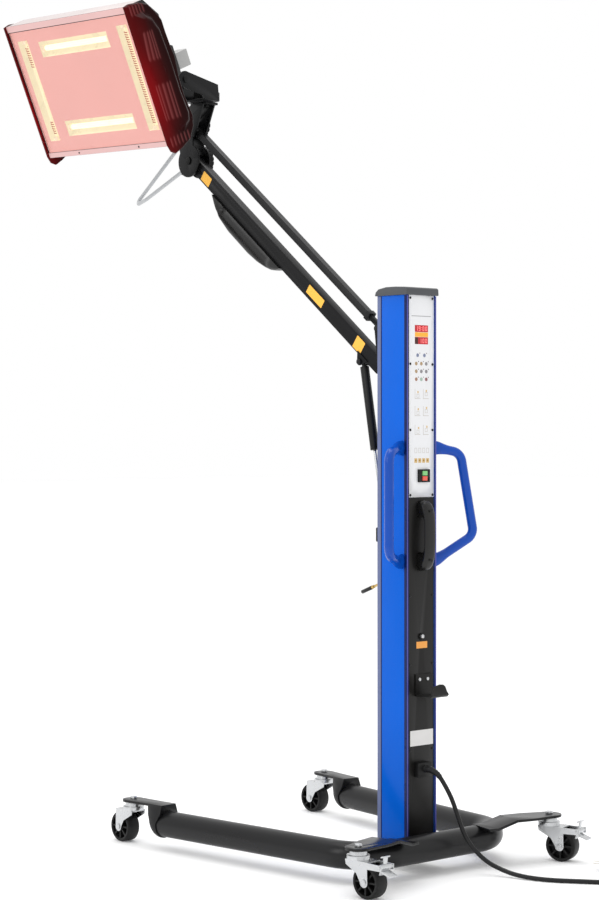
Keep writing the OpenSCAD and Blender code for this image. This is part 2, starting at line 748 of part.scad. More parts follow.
// Bent sheet hook that holds the wound cord, its outer lip is rounded toward one side
hook_low = 405;
module cable_hook() {
    left = -21;
    right = 34;
    bend = 6;
    far = panel_face - hook_depth;
    at_column() color([0.05, 0.05, 0.055]) intersection() {
        slab_x(left, right) polygon([
            [panel_face, 456], [panel_face, hook_low], [far + bend, hook_low], [far, hook_low + bend],
            [far, hook_low + 31], [far + hook_t, hook_low + 31], [far + hook_t, hook_low + bend + 1],
            [far + bend + 1, hook_low + hook_t], [panel_face - hook_t, hook_low + hook_t],
            [panel_face - hook_t, 456]]);
        union() {
            box([left, far + hook_t + 1, hook_low], [right, panel_face, 456]);
            slab_y(far - 1, far + hook_t + 1) polygon([
                [left, hook_low], [right, hook_low], [right, hook_low + 5], [27, hook_low + 14],
                [22, hook_low + 25], [15, hook_low + 30], [4, hook_low + 31], [left, hook_low + 25]]);
        }
    }
}

module cord_inlet() {
    at_column() color([0.05, 0.05, 0.055]) {
        box([-23, panel_face - inlet_reach, 217], [20, panel_face, 250]);
        rod_y(panel_face - inlet_reach - collar_reach, panel_face - inlet_reach, 0, inlet_z, 9);
    }
}

// Circuit board behind the silver panel, on four spacers
module control_board() {
    board_y = panel_back + 10;
    low = column_top - 209;
    high = column_top - 49;
    at_column() {
        color([0.05, 0.35, 0.15]) box([-30, board_y, low], [30, board_y + 1.6, high]);
        color("silver") for (x = [-25, 25], z = [low + 5, high - 5]) rod_y(panel_back, board_y, x, z, 3);
        color([0.1, 0.1, 0.1]) for (z = display_z)
            box([-20, board_y - 4, z[0] + 1], [20, board_y, z[1] - 1]);
        color([0.1, 0.1, 0.1]) box([-20, board_y + 1.6, low + 18], [16, board_y + 9, low + 53]);
    }
}

// Power relay and terminal block on the column's rear wall
module power_relay() {
    wall_y = column_rear - column_wall;
    at_column() {
        color([0.85, 0.85, 0.82]) box([-23, wall_y - 45, 640], [23, wall_y, 700]);
        color([0.2, 0.2, 0.2]) for (x = [-15, 0, 15]) rod_y(wall_y - 48, wall_y - 45, x, 690, 4);
        color([0.85, 0.85, 0.82]) box([-30, wall_y - 18, 560], [30, wall_y, 590]);
    }
}

// Blue bent tubes, one at each side of the column: the right one's lower bend sits higher and further out
module side_handles() {
    flange_y = -36;
    upper_z = 984;
    lower_z = 720;
    root = column_w / 2;
    stub = 14;
    low_bends = [[side_reach - 20, flange_y - 28, lower_z + 18], [side_reach, flange_y - 48, lower_z + 58]];
    at_column() color([0.03, 0.16, 0.62]) for (i = [0, 1]) mirror([1 - i, 0, 0]) {
        swept_tube(rounded_path([
            [root + 1, flange_y, upper_z], [root + stub, flange_y, upper_z],
            [side_reach - 22, flange_y - 26, upper_z - 12], low_bends[i],
            [root + stub, flange_y, lower_z], [root + 1, flange_y, lower_z]
        ], 30, 8), side_tube_r, 20, [0, 1, 0]);
        for (z = [upper_z, lower_z]) rod_x(root, root + 8, flange_y, z, side_tube_r + 2);
    }
}

// Black rail on the column's back with ears for the arm, the upper link, the spring and the lever
lever_y = 68;
lever_z = 668;
gas_ear_in = gas_r + 1.5;
lever_ear_in = 6;
lever_pin_r = 3;
module rear_rail() {
    rail_face = column_rear + rail_t;
    at_column() color([0.05, 0.05, 0.055]) difference() {
        union() {
            box([-rail_half, column_rear, 620], [rail_half, rail_face, 1300]);
            for (side = [-1, 1]) mirror([side < 0 ? 1 : 0, 0, 0]) {
                slab_x(ear_in, ear_in + ear_t) union() {
                    polygon([[column_rear, pivot_z - 24], [pivot_y + 4, pivot_z - 11.5],
                        [pivot_y + 11.5, pivot_z + 4], [link_y + 8.5, link_z + 4],
                        [link_y + 2, link_z + 8.5], [column_rear, link_z + 26]]);
                    translate([pivot_y, pivot_z]) circle(r = 12);
                    translate([link_y, link_z]) circle(r = 9);
                }
                slab_x(gas_ear_in, gas_ear_in + ear_t) polygon([
                    [column_rear, gas_low_z - 26], [gas_low_y + 16, gas_low_z - 16],
                    [gas_low_y + 16, gas_low_z + 16], [column_rear, gas_low_z + 26]]);
                slab_x(lever_ear_in, lever_ear_in + 3) union() {
                    polygon([[column_rear, lever_z - 14], [lever_y + 4, lever_z - 7.5],
                        [lever_y + 4, lever_z + 7.5], [column_rear, lever_z + 14]]);
                    translate([lever_y, lever_z]) circle(r = 8);
                }
            }
        }
        rod_x(-30, 30, pivot_y, pivot_z, pivot_r);
        rod_x(-30, 30, link_y, link_z, link_pin_r);
        rod_x(-30, 30, lever_y, lever_z, lever_pin_r);
        for (side = [-1, 1]) mirror([side < 0 ? 1 : 0, 0, 0]) slab_x(gas_ear_in - 1, gas_ear_in + ear_t + 1)
            translate([gas_low_y, gas_low_z]) square(2 * [gas_pin_r + gas_slot_y, gas_pin_r + gas_slot_z],
                center = true);
    }
}

module rear_pins() {
    reach = ear_in + ear_t;
    at_column() color("silver") {
        rod_x(-reach, reach, pivot_y, pivot_z, pivot_r);
        rod_x(-reach, reach, link_y, link_z, link_pin_r);
        rod_x(-lever_ear_in - 3, lever_ear_in + 3, lever_y, lever_z, lever_pin_r);
        for (side = [-1, 1]) mirror([side < 0 ? 1 : 0, 0, 0]) {
            rod_x(reach, reach + 3, pivot_y, pivot_z, pivot_r + 3);
            rod_x(reach, reach + 3, link_y, link_z, link_pin_r + 3);
            rod_x(lever_ear_in + 3, lever_ear_in + 5, lever_y, lever_z, lever_pin_r + 2);
        }
    }
}

// Puts arm coordinates, Y along the arm from its lower pivot, into the column's
module at_arm() {
    at_column() translate([0, pivot_y, pivot_z]) rotate([arm_angle, 0, 0]) children();
}

// Box section arm with closed ends and a lug for the gas spring
module arm_tube() {
    half = arm_depth / 2;
    root = 13;
    lug_in = arm_w / 2;
    at_arm() color([0.05, 0.05, 0.055]) difference() {
        union() {
            difference() {
                slab_x(-arm_w / 2, arm_w / 2) union() {
                    translate([root, -half]) square([arm_len - 2 * root, arm_depth]);
                    circle(r = arm_end_r);
                    translate([arm_len, 0]) circle(r = half);
                }
                box([-arm_w / 2 + arm_wall, 2 * root, -half + arm_wall],
                    [arm_w / 2 - arm_wall, arm_len - 2.5 * root, half - arm_wall]);
            }
            for (side = [-1, 1]) mirror([side < 0 ? 1 : 0, 0, 0]) slab_x(lug_in, lug_in + gas_lug_t) union() {
                polygon([[gas_top_s - 22, -half + 6], [gas_top_s - 8.5, -gas_top_drop - 3],
                    [gas_top_s + 8.5, -gas_top_drop - 3], [gas_top_s + 22, -half + 6]]);
                translate([gas_top_s, -gas_top_drop]) circle(r = 9);
            }
        }
        rod_x(-arm_w, arm_w, 0, 0, pivot_r + fit);
        rod_x(-arm_w, arm_w, arm_len, 0, pivot_r + fit);
        rod_x(-arm_w, arm_w, gas_top_s, -gas_top_drop, gas_pin_r);
    }
}

// Moulded grip under the arm with a finger recess in each side
module arm_grip() {
    half = arm_depth / 2;
    w = 18;
    outline = [[457, -half], [468, -32], [486, -46], [512, -57], [546, -64], [590, -67], [690, -66],
        [742, -58], [776, -42], [791, -28], [797, -half]];
    recess = [[508, -half - 6], [520, -38], [552, -50], [690, -51], [740, -42], [752, -half - 6]];
    at_arm() color([0.04, 0.04, 0.045]) difference() {
        slab_x(-w, w) polygon(outline);
        slab_x(-w - 1, -w + 8) polygon(recess);
        slab_x(w - 8, w + 1) polygon(recess);
    }
}

module spring_bolt() {
    reach = arm_w / 2 + gas_lug_t;
    at_arm() color("silver") {
        rod_x(-reach, reach, gas_top_s, -gas_top_drop, gas_pin_r);
        for (x = [-reach - 4, reach]) rod_x(x, x + 4, gas_top_s, -gas_top_drop, gas_pin_r + 3);
    }
}

// Square upper link with flattened, bored ends
module upper_link() {
    half = link_w / 2;
    root = 46;
    overlap = 4;
    at_column() translate([0, link_y, link_z]) rotate([arm_angle, 0, 0])
        color([0.05, 0.05, 0.055]) difference() {
            union() {
                difference() {
                    box([-half, root, -half], [half, arm_len - root, half]);
                    box([-half + arm_wall, root + 8, -half + arm_wall],
                        [half - arm_wall, arm_len - root - 8, half - arm_wall]);
                }
                slab_x(-5, 5) union() {
                    translate([0, -6]) square([root + overlap, 12]);
                    translate([arm_len - root - overlap, -6]) square([root + overlap, 12]);
                    circle(r = 9);
                    translate([arm_len, 0]) circle(r = 9);
                }
                box([-half - 2, root, -half - 2], [half + 2, root + 14, half + 2]);
            }
            rod_x(-arm_w, arm_w, 0, 0, link_pin_r + fit);
            rod_x(-arm_w, arm_w, arm_len, 0, link_pin_r + 0.5);
        }
}

// Puts spring coordinates, Z along the spring up from its lower pivot, into the column's
module at_spring() {
    at_column() translate([0, gas_low_y, gas_low_z]) rotate([-gas_lean, 0, 0]) children();
}

module gas_cylinder() {
    low = gas_len - gas_body_len;
    at_spring() color([0.05, 0.05, 0.055]) difference() {
        union() {
            translate([0, 0, low]) cylinder(h = gas_body_len - 12, r = gas_r);
            slab_x(-4, 4) union() {
                translate([-5, gas_len - 13]) square([10, 13]);
                translate([0, gas_len]) circle(r = gas_eye_r);
            }
        }
        translate([0, 0, low - 1]) cylinder(h = gas_body_len - 30, r = gas_rod_r + fit);
        rod_x(-10, 10, 0, gas_len, gas_pin_r + fit);
    }
}

// Rod with its eye and cross pin, the pin moves in the slots of the rail's ears
module gas_rod() {
    low = gas_len - gas_body_len;
    reach = gas_ear_in + ear_t + 2;
    at_spring() color("silver") {
        translate([0, 0, 6]) cylinder(h = low + 90 - 6, r = gas_rod_r);
        rod_x(-gas_ear_in + 0.5, gas_ear_in - 0.5, 0, 0, gas_eye_r);
        rod_x(-reach, reach, 0, 0, gas_pin_r);
    }
}

// Hand lever under the spring, with a brass stub
module lock_lever() {
    tip = [154, 636];
    dir = unit([tip[0] - lever_y, tip[1] - lever_z]);
    start = [lever_y, lever_z];
    collar = start + dir * 48;
    grip_start = start + dir * 55;
    at_column() difference() {
        union() {
            color([0.05, 0.05, 0.055]) rod_x(-lever_ear_in + 0.5, lever_ear_in - 0.5, lever_y, lever_z, 8);
            color([0.75, 0.6, 0.25])
                rod([0, start[0], start[1]] + 7 * [0, dir[0], dir[1]], [0, collar[0], collar[1]], 3);
            color([0.75, 0.6, 0.25])
                rod([0, collar[0], collar[1]], [0, grip_start[0], grip_start[1]], 4);
            color([0.05, 0.05, 0.055])
                rod([0, grip_start[0], grip_start[1]], [0, tip[0], tip[1]], 4.6);
        }
        rod_x(-20, 20, lever_y, lever_z, lever_pin_r + fit);
    }
}

// Neck: two side plates joined by a top plate that carries the swivel
neck_link_y = head_pivot_y + link_dy;
neck_link_z = head_pivot_z + link_dz;
module neck_outline() {
    hy = head_pivot_y;
    hz = head_pivot_z;
    translate([hy, hz]) circle(r = lobe_r);
    polygon([
        [swivel_y - 12, neck_top - 3], [hy - 33, hz + 82], [hy - 18, hz + 62], [hy - 17, hz + 38],
        [hy + 36, hz + 22], [hy + 46, hz + 60], [neck_link_y + 27, neck_link_z - 6],
        [neck_link_y + 14, neck_link_z + 24], [swivel_y + 43, neck_top - 3]]);
}

module neck_bracket() {
    hy = head_pivot_y;
    hz = head_pivot_z;
    at_column() color([0.05, 0.05, 0.055]) difference() {
        union() {
            slab_x(-neck_out, -neck_in) neck_outline();
            slab_x(neck_in, neck_out) neck_outline();
            box([-neck_out, swivel_y - 22, neck_top - 6], [neck_out, swivel_y + 43, neck_top]);
            box([-neck_in, hy + 24, hz - 34], [neck_in, hy + 35, hz - 14]);
            box([-neck_in, hy + 31, hz + 62], [neck_in, hy + 41, hz + 86]);
        }
        rod_x(-30, 30, hy, hz, pivot_r);
        rod_x(-30, 30, neck_link_y, neck_link_z, link_pin_r);
        translate([0, swivel_y, neck_top - 10]) cylinder(h = 20, r = 7);
    }
}

// Bent wire pull handle, welded to the neck's two bars
module pull_handle() {
    hy = head_pivot_y;
    hz = head_pivot_z;
    at_column() color([0.6, 0.6, 0.6]) swept_tube(rounded_path([
        [10, hy + 44.2, hz + 71.8], [10, hy + 278, hz - 97], [-11, hy + 195, hz - 85], [-11, hy + 37.1, hz - 24]
    ], 9, 6), wire_r, 12, [1, 0, 0]);
}

// Clamp knobs: two fluted ones on the neck's far side, and the swivel's over the fork's web
module clamp_knobs() {
    web_top = swivel_z + tilt_fork_t;
    at_column() for (p = [[head_pivot_y, head_pivot_z, pivot_r], [neck_link_y, neck_link_z, link_pin_r]]) {
        color("silver") rod_x(-neck_out, neck_out, p[0], p[1], p[2]);
        color("silver") rod_x(-neck_out - 3, -neck_out, p[0], p[1], p[2] + 4);
        color([0.03, 0.03, 0.03]) difference() {
            rod_x(neck_out, neck_out + knob_t, p[0], p[1], lobe_r - 1);
            for (i = [0 : 19]) translate([0, p[0], p[1]]) rotate([18 * i, 0, 0])
                rod_x(neck_out - 1, neck_out + knob_t + 1, lobe_r + 1, 0, 4);
        }
    }
    at_column() translate([0, swivel_y, 0]) color([0.03, 0.03, 0.03]) {
        translate([0, 0, neck_top - 10]) cylinder(h = web_top + seat_gap - neck_top + 10, r = 7);
        translate([0, 0, web_top + seat_gap]) cylinder(h = 21, r = 34);
    }
}

// Puts fork coordinates, -X toward the lamp head, into the column's
module at_fork() {
    at_column() translate([0, swivel_y, 0]) rotate([0, 0, head_yaw]) children();
}

module tilt_fork() {
    half = fork_half_w;
    at_fork() color([0.05, 0.05, 0.055]) difference() {
        union() {
            box([-46, -half, swivel_z], [4, half, swivel_z + tilt_fork_t]);
            for (y = [-half, half - tilt_fork_t]) slab_y(y, y + tilt_fork_t) union() {
                polygon([[4, swivel_z], [0, swivel_z + 43], [-tilt_reach + 3, tilt_z + tilt_eye_r - 0.4],
                    [-tilt_reach - 3, tilt_z - tilt_eye_r + 0.4], [-52, swivel_z + 11], [-44, swivel_z]]);
                translate([-tilt_reach, tilt_z]) circle(r = tilt_eye_r);
            }
        }
        translate([0, 0, swivel_z - 1]) cylinder(h = tilt_fork_t + 2, r = 7 + fit);
        rod_y(-half - 1, half + 1, -tilt_reach, tilt_z, tilt_bolt_r);
    }
    at_fork() color("silver") {
        rod_y(-half, half, -tilt_reach, tilt_z, tilt_bolt_r);
        for (y = [-half - 5, half]) rod_y(y, y + 5, -tilt_reach, tilt_z, tilt_bolt_r + 4);
    }
}

// Puts head coordinates into the column's: X along the head, Y up its face, Z out of its face
module at_face() {
    at_fork() translate([-face_reach, 0, face_z]) rotate([0, -head_tilt, 0]) rotate([90, 0, -90]) children();
}
module at_head() {
    at_face() rotate([0, 0, head_roll]) children();
}

// Tilt axis in head coordinates: height on the face and depth behind it
tilt_off = [face_reach - tilt_reach, tilt_z - face_z];
tilt_v = -tilt_off[0] * sin(head_tilt) + tilt_off[1] * cos(head_tilt);
tilt_a = tilt_off[0] * cos(head_tilt) + tilt_off[1] * sin(head_tilt);

module head_bracket() {
    at_face() color([0.05, 0.05, 0.055]) difference() {
        union() {
            for (side = [-1, 1]) mirror([side < 0 ? 1 : 0, 0, 0])
                slab_x(cheek_half - 4, cheek_half) union() {
                    translate([tilt_v, -tilt_a]) circle(r = 20);
                    polygon([[tilt_v - 19, -tilt_a - 4], [tilt_v + 19, -tilt_a + 4],
                        [tilt_v + 75, -head_d - 4], [tilt_v - 44, -head_d - 4]]);
                }
            box([-cheek_half - 16, tilt_v - 49, -head_d - 4], [cheek_half + 16, tilt_v + 82, -head_d]);
            box([-cheek_half + 4, tilt_v - 40, -head_d - 30], [cheek_half - 4, tilt_v - 36, -head_d - 4]);
        }
        rod_x(-cheek_reach, cheek_reach, tilt_v, -tilt_a, tilt_bolt_r + fit);
    }
}

// Sheet casing with sloped back edges, open in front, with folded rims above and below the glass
boss_t = 13;
module casing_section(inset) {
    hh = head_h / 2 - inset;
    polygon([[hh, inset], [hh, -62], [128, -head_d + inset],
        [-136, -head_d + inset], [-hh, -72], [-hh, inset]]);
}

module head_casing() {
    hw = head_w / 2;
    hh = head_h / 2;
    at_head() color([0.8, 0.8, 0.8]) {
        difference() {
            slab_x(-hw, hw) casing_section(0);
            slab_x(-hw + head_wall, hw - head_wall) casing_section(head_wall);
        }
        box([-hw + head_wall, hh - 18, -head_wall], [hw - head_wall, hh - head_wall, 0]);
        box([-hw + head_wall, -hh + head_wall, -head_wall], [hw - head_wall, -hh + 14, 0]);
        slab_x(hw - 66, hw) polygon([[52, -head_d], [44, -head_d - boss_t], [-24, -head_d - boss_t],
            [-32, -head_d]]);
    }
}

// Moulded black covers on the head's two ends, in (height, depth) outlines: a rim and a raised middle
cover_points = [[176, 5], [179, -12], [174, -42], [163, -68], [139, -85], [114, -97], [84, -97], [50, -99],
    [20, -102], [-32, -95], [-76, -94], [-131, -101], [-157, -92], [-183, -69], [-194, -37], [-199, -12],
    [-190, 0], [-172, 5]];
bulge_points = [[150, -12], [152, -40], [134, -64], [100, -77], [20, -82], [-60, -82], [-118, -88],
    [-142, -80], [-158, -54], [-150, -32], [-118, -22], [-20, -20], [60, -12], [120, -4]];
cover_mid = [-10, -50];
cover_wall = 4;
module shrunk(share, points) {
    polygon([for (p = points) cover_mid + (p - cover_mid) * share]);
}

module side_covers() {
    hw = head_w / 2;
    at_head() color([0.06, 0.05, 0.05]) for (side = [-1, 1]) mirror([side < 0 ? 1 : 0, 0, 0]) difference() {
        union() {
            slab_x(hw, hw + cover_rim_t) shrunk(1, cover_points);
            hull() {
                slab_x(hw + cover_rim_t - 1, hw + cover_rim_t) shrunk(1, bulge_points);
                slab_x(hw + cover_t - 1, hw + cover_t) shrunk(0.88, bulge_points);
            }
        }
        slab_x(hw - 1, hw + cover_rim_t - cover_wall) shrunk(0.93, cover_points);
        slab_x(hw, hw + cover_t - cover_wall) shrunk(0.8, bulge_points);
    }
}

// Places of the four reflectors: middle and turn in the face's plane
reflector_places = [[-upright_u, 0, 90], [upright_u, 0, 90], [0, lying_v, 0], [0, -lying_v, 0]];

// Bright inner panel with a cut-out for each reflector
module reflector_panel() {
    hw = head_w / 2 - head_wall - 0.3;
    hh = head_h / 2 - head_wall - 0.3;
    at_head() color([0.9, 0.75, 0.75]) translate([0, 0, -panel_seat - 1.5]) linear_extrude(1.5) difference() {
        square([2 * hw, 2 * hh], center = true);
        for (p = reflector_places) translate([p[0], p[1]]) rotate(p[2])
            square([reflector_len - 6, reflector_w - 6], center = true);
    }
}

reflector_wall = 1.5;
module trough_outline(shrink) {
    r = reflector_w / 2 - shrink;
    side = reflector_d - reflector_w / 2;
    intersection() {
        union() {
            translate([0, -side]) circle(r = r);
            translate([-r, -side]) square([2 * r, side + shrink]);
        }
        translate([-r - 1, -side - r - 1]) square([2 * r + 2, side + r + 1 + shrink]);
    }
}

module reflectors() {
    half = reflector_len / 2;
    at_head() color([0.95, 0.7, 0.4]) for (p = reflector_places)
        translate([p[0], p[1], -panel_seat - 1.5]) rotate([0, 0, p[2]]) difference() {
            slab_x(-half, half) trough_outline(0);
            slab_x(-half + 2 * reflector_wall, half - 2 * reflector_wall) trough_outline(reflector_wall);
        }
}

lamp_depth = panel_seat + 12;
holder_len = 10;
module lamp_tubes() {
    half = reflector_len / 2 - 3 - holder_len;
    at_head() color([1, 0.85, 0.6]) for (p = reflector_places)
        translate([p[0], p[1], -lamp_depth]) rotate([0, 0, p[2]])
            rod_x(-half, half, 0, 0, lamp_r);
}

module lamp_holders() {
    half = reflector_len / 2 - 3;
    w = lamp_r + 3;
    at_head() color([0.95, 0.93, 0.88]) for (p = reflector_places)
        translate([p[0], p[1], -lamp_depth]) rotate([0, 0, p[2]])
            for (x = [-half, half - holder_len])
                translate([x, -w, -w]) cube([holder_len, 2 * w, 2 * w]);
}

module front_glass() {
    hw = head_w / 2 - head_wall - 0.3;
    hh = head_h / 2 - head_wall - 0.3;
    at_head() color([1, 0.7, 0.7, 0.5]) box([-hw, -hh, -head_wall - glass_t], [hw, hh, -head_wall]);
}

// Light grey junction box on the head's back near its end
module rear_box() {
    box_reach = 151;
    at_head() color([0.75, 0.76, 0.76])
        box([head_w / 2 - 36, -17, -box_reach], [head_w / 2, 24, -head_d - boss_t]);
}

// Smooth curve through the route's points
function curve_point(p, i, t) =
    let (a = p[max(i - 1, 0)], b = p[i], c = p[i + 1], d = p[min(i + 2, len(p) - 1)])
    0.5 * (2 * b + (c - a) * t + (2 * a - 5 * b + 4 * c - d) * t * t + (3 * b - a - 3 * c + d) * t * t * t);
route_curve = concat([route[0]],
    [for (i = [1 : len(route) - 3], j = [0 : route_steps - 1]) curve_point(route, i, j / route_steps)],
    [route_before, route_end]);

module mains_cord() {
    at_column() color([0.03, 0.03, 0.03]) swept_tube(route_curve, cord_r, 8, [0, 0, 1]);
}

// Coil: in along the floor, up a layer in the half turn where it reverses, and out again
coil_heading = unit(route_end - route_before);
coil_side = [-coil_heading[1], coil_heading[0], 0];
coil_start_angle = atan2(-coil_side[1], -coil_side[0]);
coil_lead = cord_d;
coil_tail = 45;
coil_mid = route_end + coil_heading * coil_lead + coil_side * coil_r;
coil_pitch = cord_d + coil_gap;
loop_rings = 24;
coil_rings = (2 * coil_turns + 0.5) * loop_rings;
function coil_turn(i) = i / loop_rings;
function coil_radius(t) = coil_r - coil_pitch * min(t, 2 * coil_turns + 0.5 - t);
function coil_height(t) = cord_low + coil_pitch * max(0, min(1, (t - coil_turns) / 0.5));
function coil_at(i) =
    let (t = coil_turn(i), a = coil_start_angle + 360 * t)
    [coil_mid[0] + coil_radius(t) * cos(a), coil_mid[1] + coil_radius(t) * sin(a), coil_height(t)];
coil_end_angle = coil_start_angle + 360 * coil_turn(coil_rings) + 90;
coil_end_dir = [cos(coil_end_angle), sin(coil_end_angle), 0];
coil_loops = [for (i = [0 : coil_rings]) coil_at(i)];
coil_last = coil_at(coil_rings);
coil_points = concat([route_end, route_end + coil_heading * coil_lead * 0.9],
    [for (i = [1 : coil_rings - 1]) coil_loops[i]],
    [coil_last, coil_last + coil_end_dir * coil_tail]);
plug_start = coil_last + coil_end_dir * coil_tail;

// Least distance between the surfaces of two turns, measured on the coil's points
coil_least = min([for (i = [0 : coil_rings], j = [i + 12 : 1 : coil_rings])
    norm(coil_loops[i] - coil_loops[j])]) - cord_d;
echo(coil_least_gap = coil_least);
function run_length(p) =
    [for (i = [0 : len(p) - 2]) norm(p[i + 1] - p[i])] * [for (i = [0 : len(p) - 2]) 1];
echo(free_cord_length = run_length(route_curve), coil_length = run_length(coil_points));

module cord_coil() {
    at_column() color([0.03, 0.03, 0.03]) swept_tube(coil_points, cord_r, 6, [0, 0, 1]);
}

// Moulded two-pin plug at the coil's end, lying on the floor
module plug() {
    turn = coil_end_angle;
    at_column() translate(plug_start) rotate([0, 0, turn]) {
        color([0.04, 0.04, 0.04]) {
            rotate([0, 90, 0]) cylinder(h = 26, r = 7.5);
            translate([25, 0, plug_r + 0.25 - plug_start[2]]) rotate([0, 90, 0]) cylinder(h = 34, r = plug_r);
        }
        color("silver") for (y = [-9.5, 9.5])
            translate([59, y, plug_r + 0.25 - plug_start[2]]) rotate([0, 90, 0]) cylinder(h = 19, r = 2.4);
    }
}

base_frame();
castor_brackets();
stand_fasteners();
column_foot();
castor_fork_fl();
castor_fork_fr();
castor_fork_rl();
castor_fork_rr();
castor_axle_fl();
castor_axle_fr();
castor_axle_rl();
castor_axle_rr();
castor_wheel_fl();
castor_wheel_fr();
castor_wheel_rl();
castor_wheel_rr();
brake_pedal_rl();
brake_pedal_rr();
column_profile();
column_cap();
control_panel();
lower_panel();
display_windows();
keypad();
switch_housing();
start_button();
stop_button();
front_grip();
reset_collar();
reset_button();
cable_hook();
cord_inlet();
control_board();
power_relay();
side_handles();
rear_rail();
rear_pins();
arm_tube();
arm_grip();
spring_bolt();
upper_link();
gas_cylinder();
gas_rod();
lock_lever();
neck_bracket();
pull_handle();
clamp_knobs();
tilt_fork();
head_bracket();
head_casing();
side_covers();
reflector_panel();
reflectors();
lamp_tubes();
lamp_holders();
front_glass();
rear_box();
mains_cord();
cord_coil();
plug();
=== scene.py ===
"""Infrared paint curing lamp on a castor stand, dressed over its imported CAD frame.

Everything is in metres in the frame's own axes: +Z up, the control panel faces -Y, the swing arm
leaves the column toward +Y and the lamp head faces -X. Sections follow the lamp as it is put together.
"""
import json
import math

import bmesh
import bpy
import numpy as np
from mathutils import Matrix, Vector


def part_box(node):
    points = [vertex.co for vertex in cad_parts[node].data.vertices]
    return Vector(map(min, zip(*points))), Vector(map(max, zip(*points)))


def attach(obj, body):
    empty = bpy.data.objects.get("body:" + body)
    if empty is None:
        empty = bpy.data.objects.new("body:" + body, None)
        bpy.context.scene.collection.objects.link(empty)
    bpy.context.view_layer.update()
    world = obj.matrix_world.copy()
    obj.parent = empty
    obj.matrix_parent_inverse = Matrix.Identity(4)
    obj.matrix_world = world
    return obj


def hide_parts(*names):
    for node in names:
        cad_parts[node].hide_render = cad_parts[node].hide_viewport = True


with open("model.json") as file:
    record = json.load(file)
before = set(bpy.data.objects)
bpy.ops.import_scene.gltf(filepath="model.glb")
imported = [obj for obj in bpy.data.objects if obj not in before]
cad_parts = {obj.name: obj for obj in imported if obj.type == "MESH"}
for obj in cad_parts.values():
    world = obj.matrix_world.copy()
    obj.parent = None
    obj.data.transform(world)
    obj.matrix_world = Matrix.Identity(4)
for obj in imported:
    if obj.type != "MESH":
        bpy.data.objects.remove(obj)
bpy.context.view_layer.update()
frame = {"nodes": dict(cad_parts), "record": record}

# Studio: the photograph's camera stands in front and to the left of the column, level, with its
# optical axis a little above the picture's middle, and looks across a white floor under a white sky.
column_low, column_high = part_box("column_profile")
COLUMN = np.array([(column_low.x + column_high.x) / 2, (column_low.y + column_high.y) / 2, 0.0])
CAMERA_FROM_COLUMN = np.array([-3.5139, -3.6629, 1.033])
CAMERA_HEADING = math.radians(40.97)
LENS_PX = 2152.82
PICTURE = (599, 900)
AXIS_PX = (300.0, 427.0)

eye = bpy.data.cameras.new("photo_camera")
eye.sensor_fit = "VERTICAL"
eye.sensor_height = 36.0
eye.lens = LENS_PX / PICTURE[1] * eye.sensor_height
eye.shift_x = -(AXIS_PX[0] - PICTURE[0] / 2) / PICTURE[1]
eye.shift_y = (AXIS_PX[1] - PICTURE[1] / 2) / PICTURE[1]
eye.clip_end = 60.0


def in_scene(name, data):
    """New object of the data, linked into the scene."""
    thing = bpy.data.objects.new(name, data)
    bpy.context.scene.collection.objects.link(thing)
    return thing


camera = in_scene("photo_camera", eye)
camera.location = COLUMN + CAMERA_FROM_COLUMN
camera.rotation_euler = (math.pi / 2, 0.0, -CAMERA_HEADING)
bpy.context.scene.camera = camera
bpy.context.scene.view_settings.view_transform = "Standard"


def set_sockets(node, **values):
    """Sets a node's inputs by their names, with _ for each space."""
    for socket, value in values.items():
        node.inputs[socket.replace("_", " ")].default_value = value


FLOOR_HALF = 30.0
floor_corners = [(x * FLOOR_HALF, y * FLOOR_HALF, 0) for x, y in ((-1, -1), (1, -1), (1, 1), (-1, 1))]
floor_mesh = bpy.data.meshes.new("floor")
floor_mesh.from_pydata(floor_corners, [], [(0, 1, 2, 3)])
floor = in_scene("floor", floor_mesh)
floor_paint = bpy.data.materials.new("floor_white")
floor_paint.use_nodes = True
set_sockets(floor_paint.node_tree.nodes["Principled BSDF"], Base_Color=(0.95, 0.95, 0.95, 1),
            Roughness=0.7, Specular_IOR_Level=0.2, Emission_Color=(1, 1, 1, 1), Emission_Strength=0.07)
floor_mesh.materials.append(floor_paint)

world = bpy.data.worlds.new("studio")
world.use_nodes = True
set_sockets(world.node_tree.nodes["Background"], Color=(1, 1, 1, 1), Strength=1.0)
bpy.context.scene.world = world


def softbox(name, place, target, size, power):
    """Rectangular studio light that stands at a place and faces a target."""
    lamp = bpy.data.lights.new(name, "AREA")
    lamp.shape = "RECTANGLE"
    lamp.size, lamp.size_y = size
    lamp.energy = power
    stand = in_scene(name, lamp)
    stand.location = place
    stand.rotation_euler = (Vector(target) - Vector(place)).to_track_quat("-Z", "Y").to_euler()


softbox("key_left", (-4.6, 0.2, 3.0), (0, 0, 1.2), (1.6, 2.6), 40)
softbox("top", (0.2, 0.4, 4.8), (0, 0, 0), (3.4, 3.4), 90)

# Mains cord: black rubber cord that leaves the inlet low on the column, falls to the floor and runs
# to a flat coil beside the stand, where the length that the photograph doesn't show is put away.
MM = 0.001


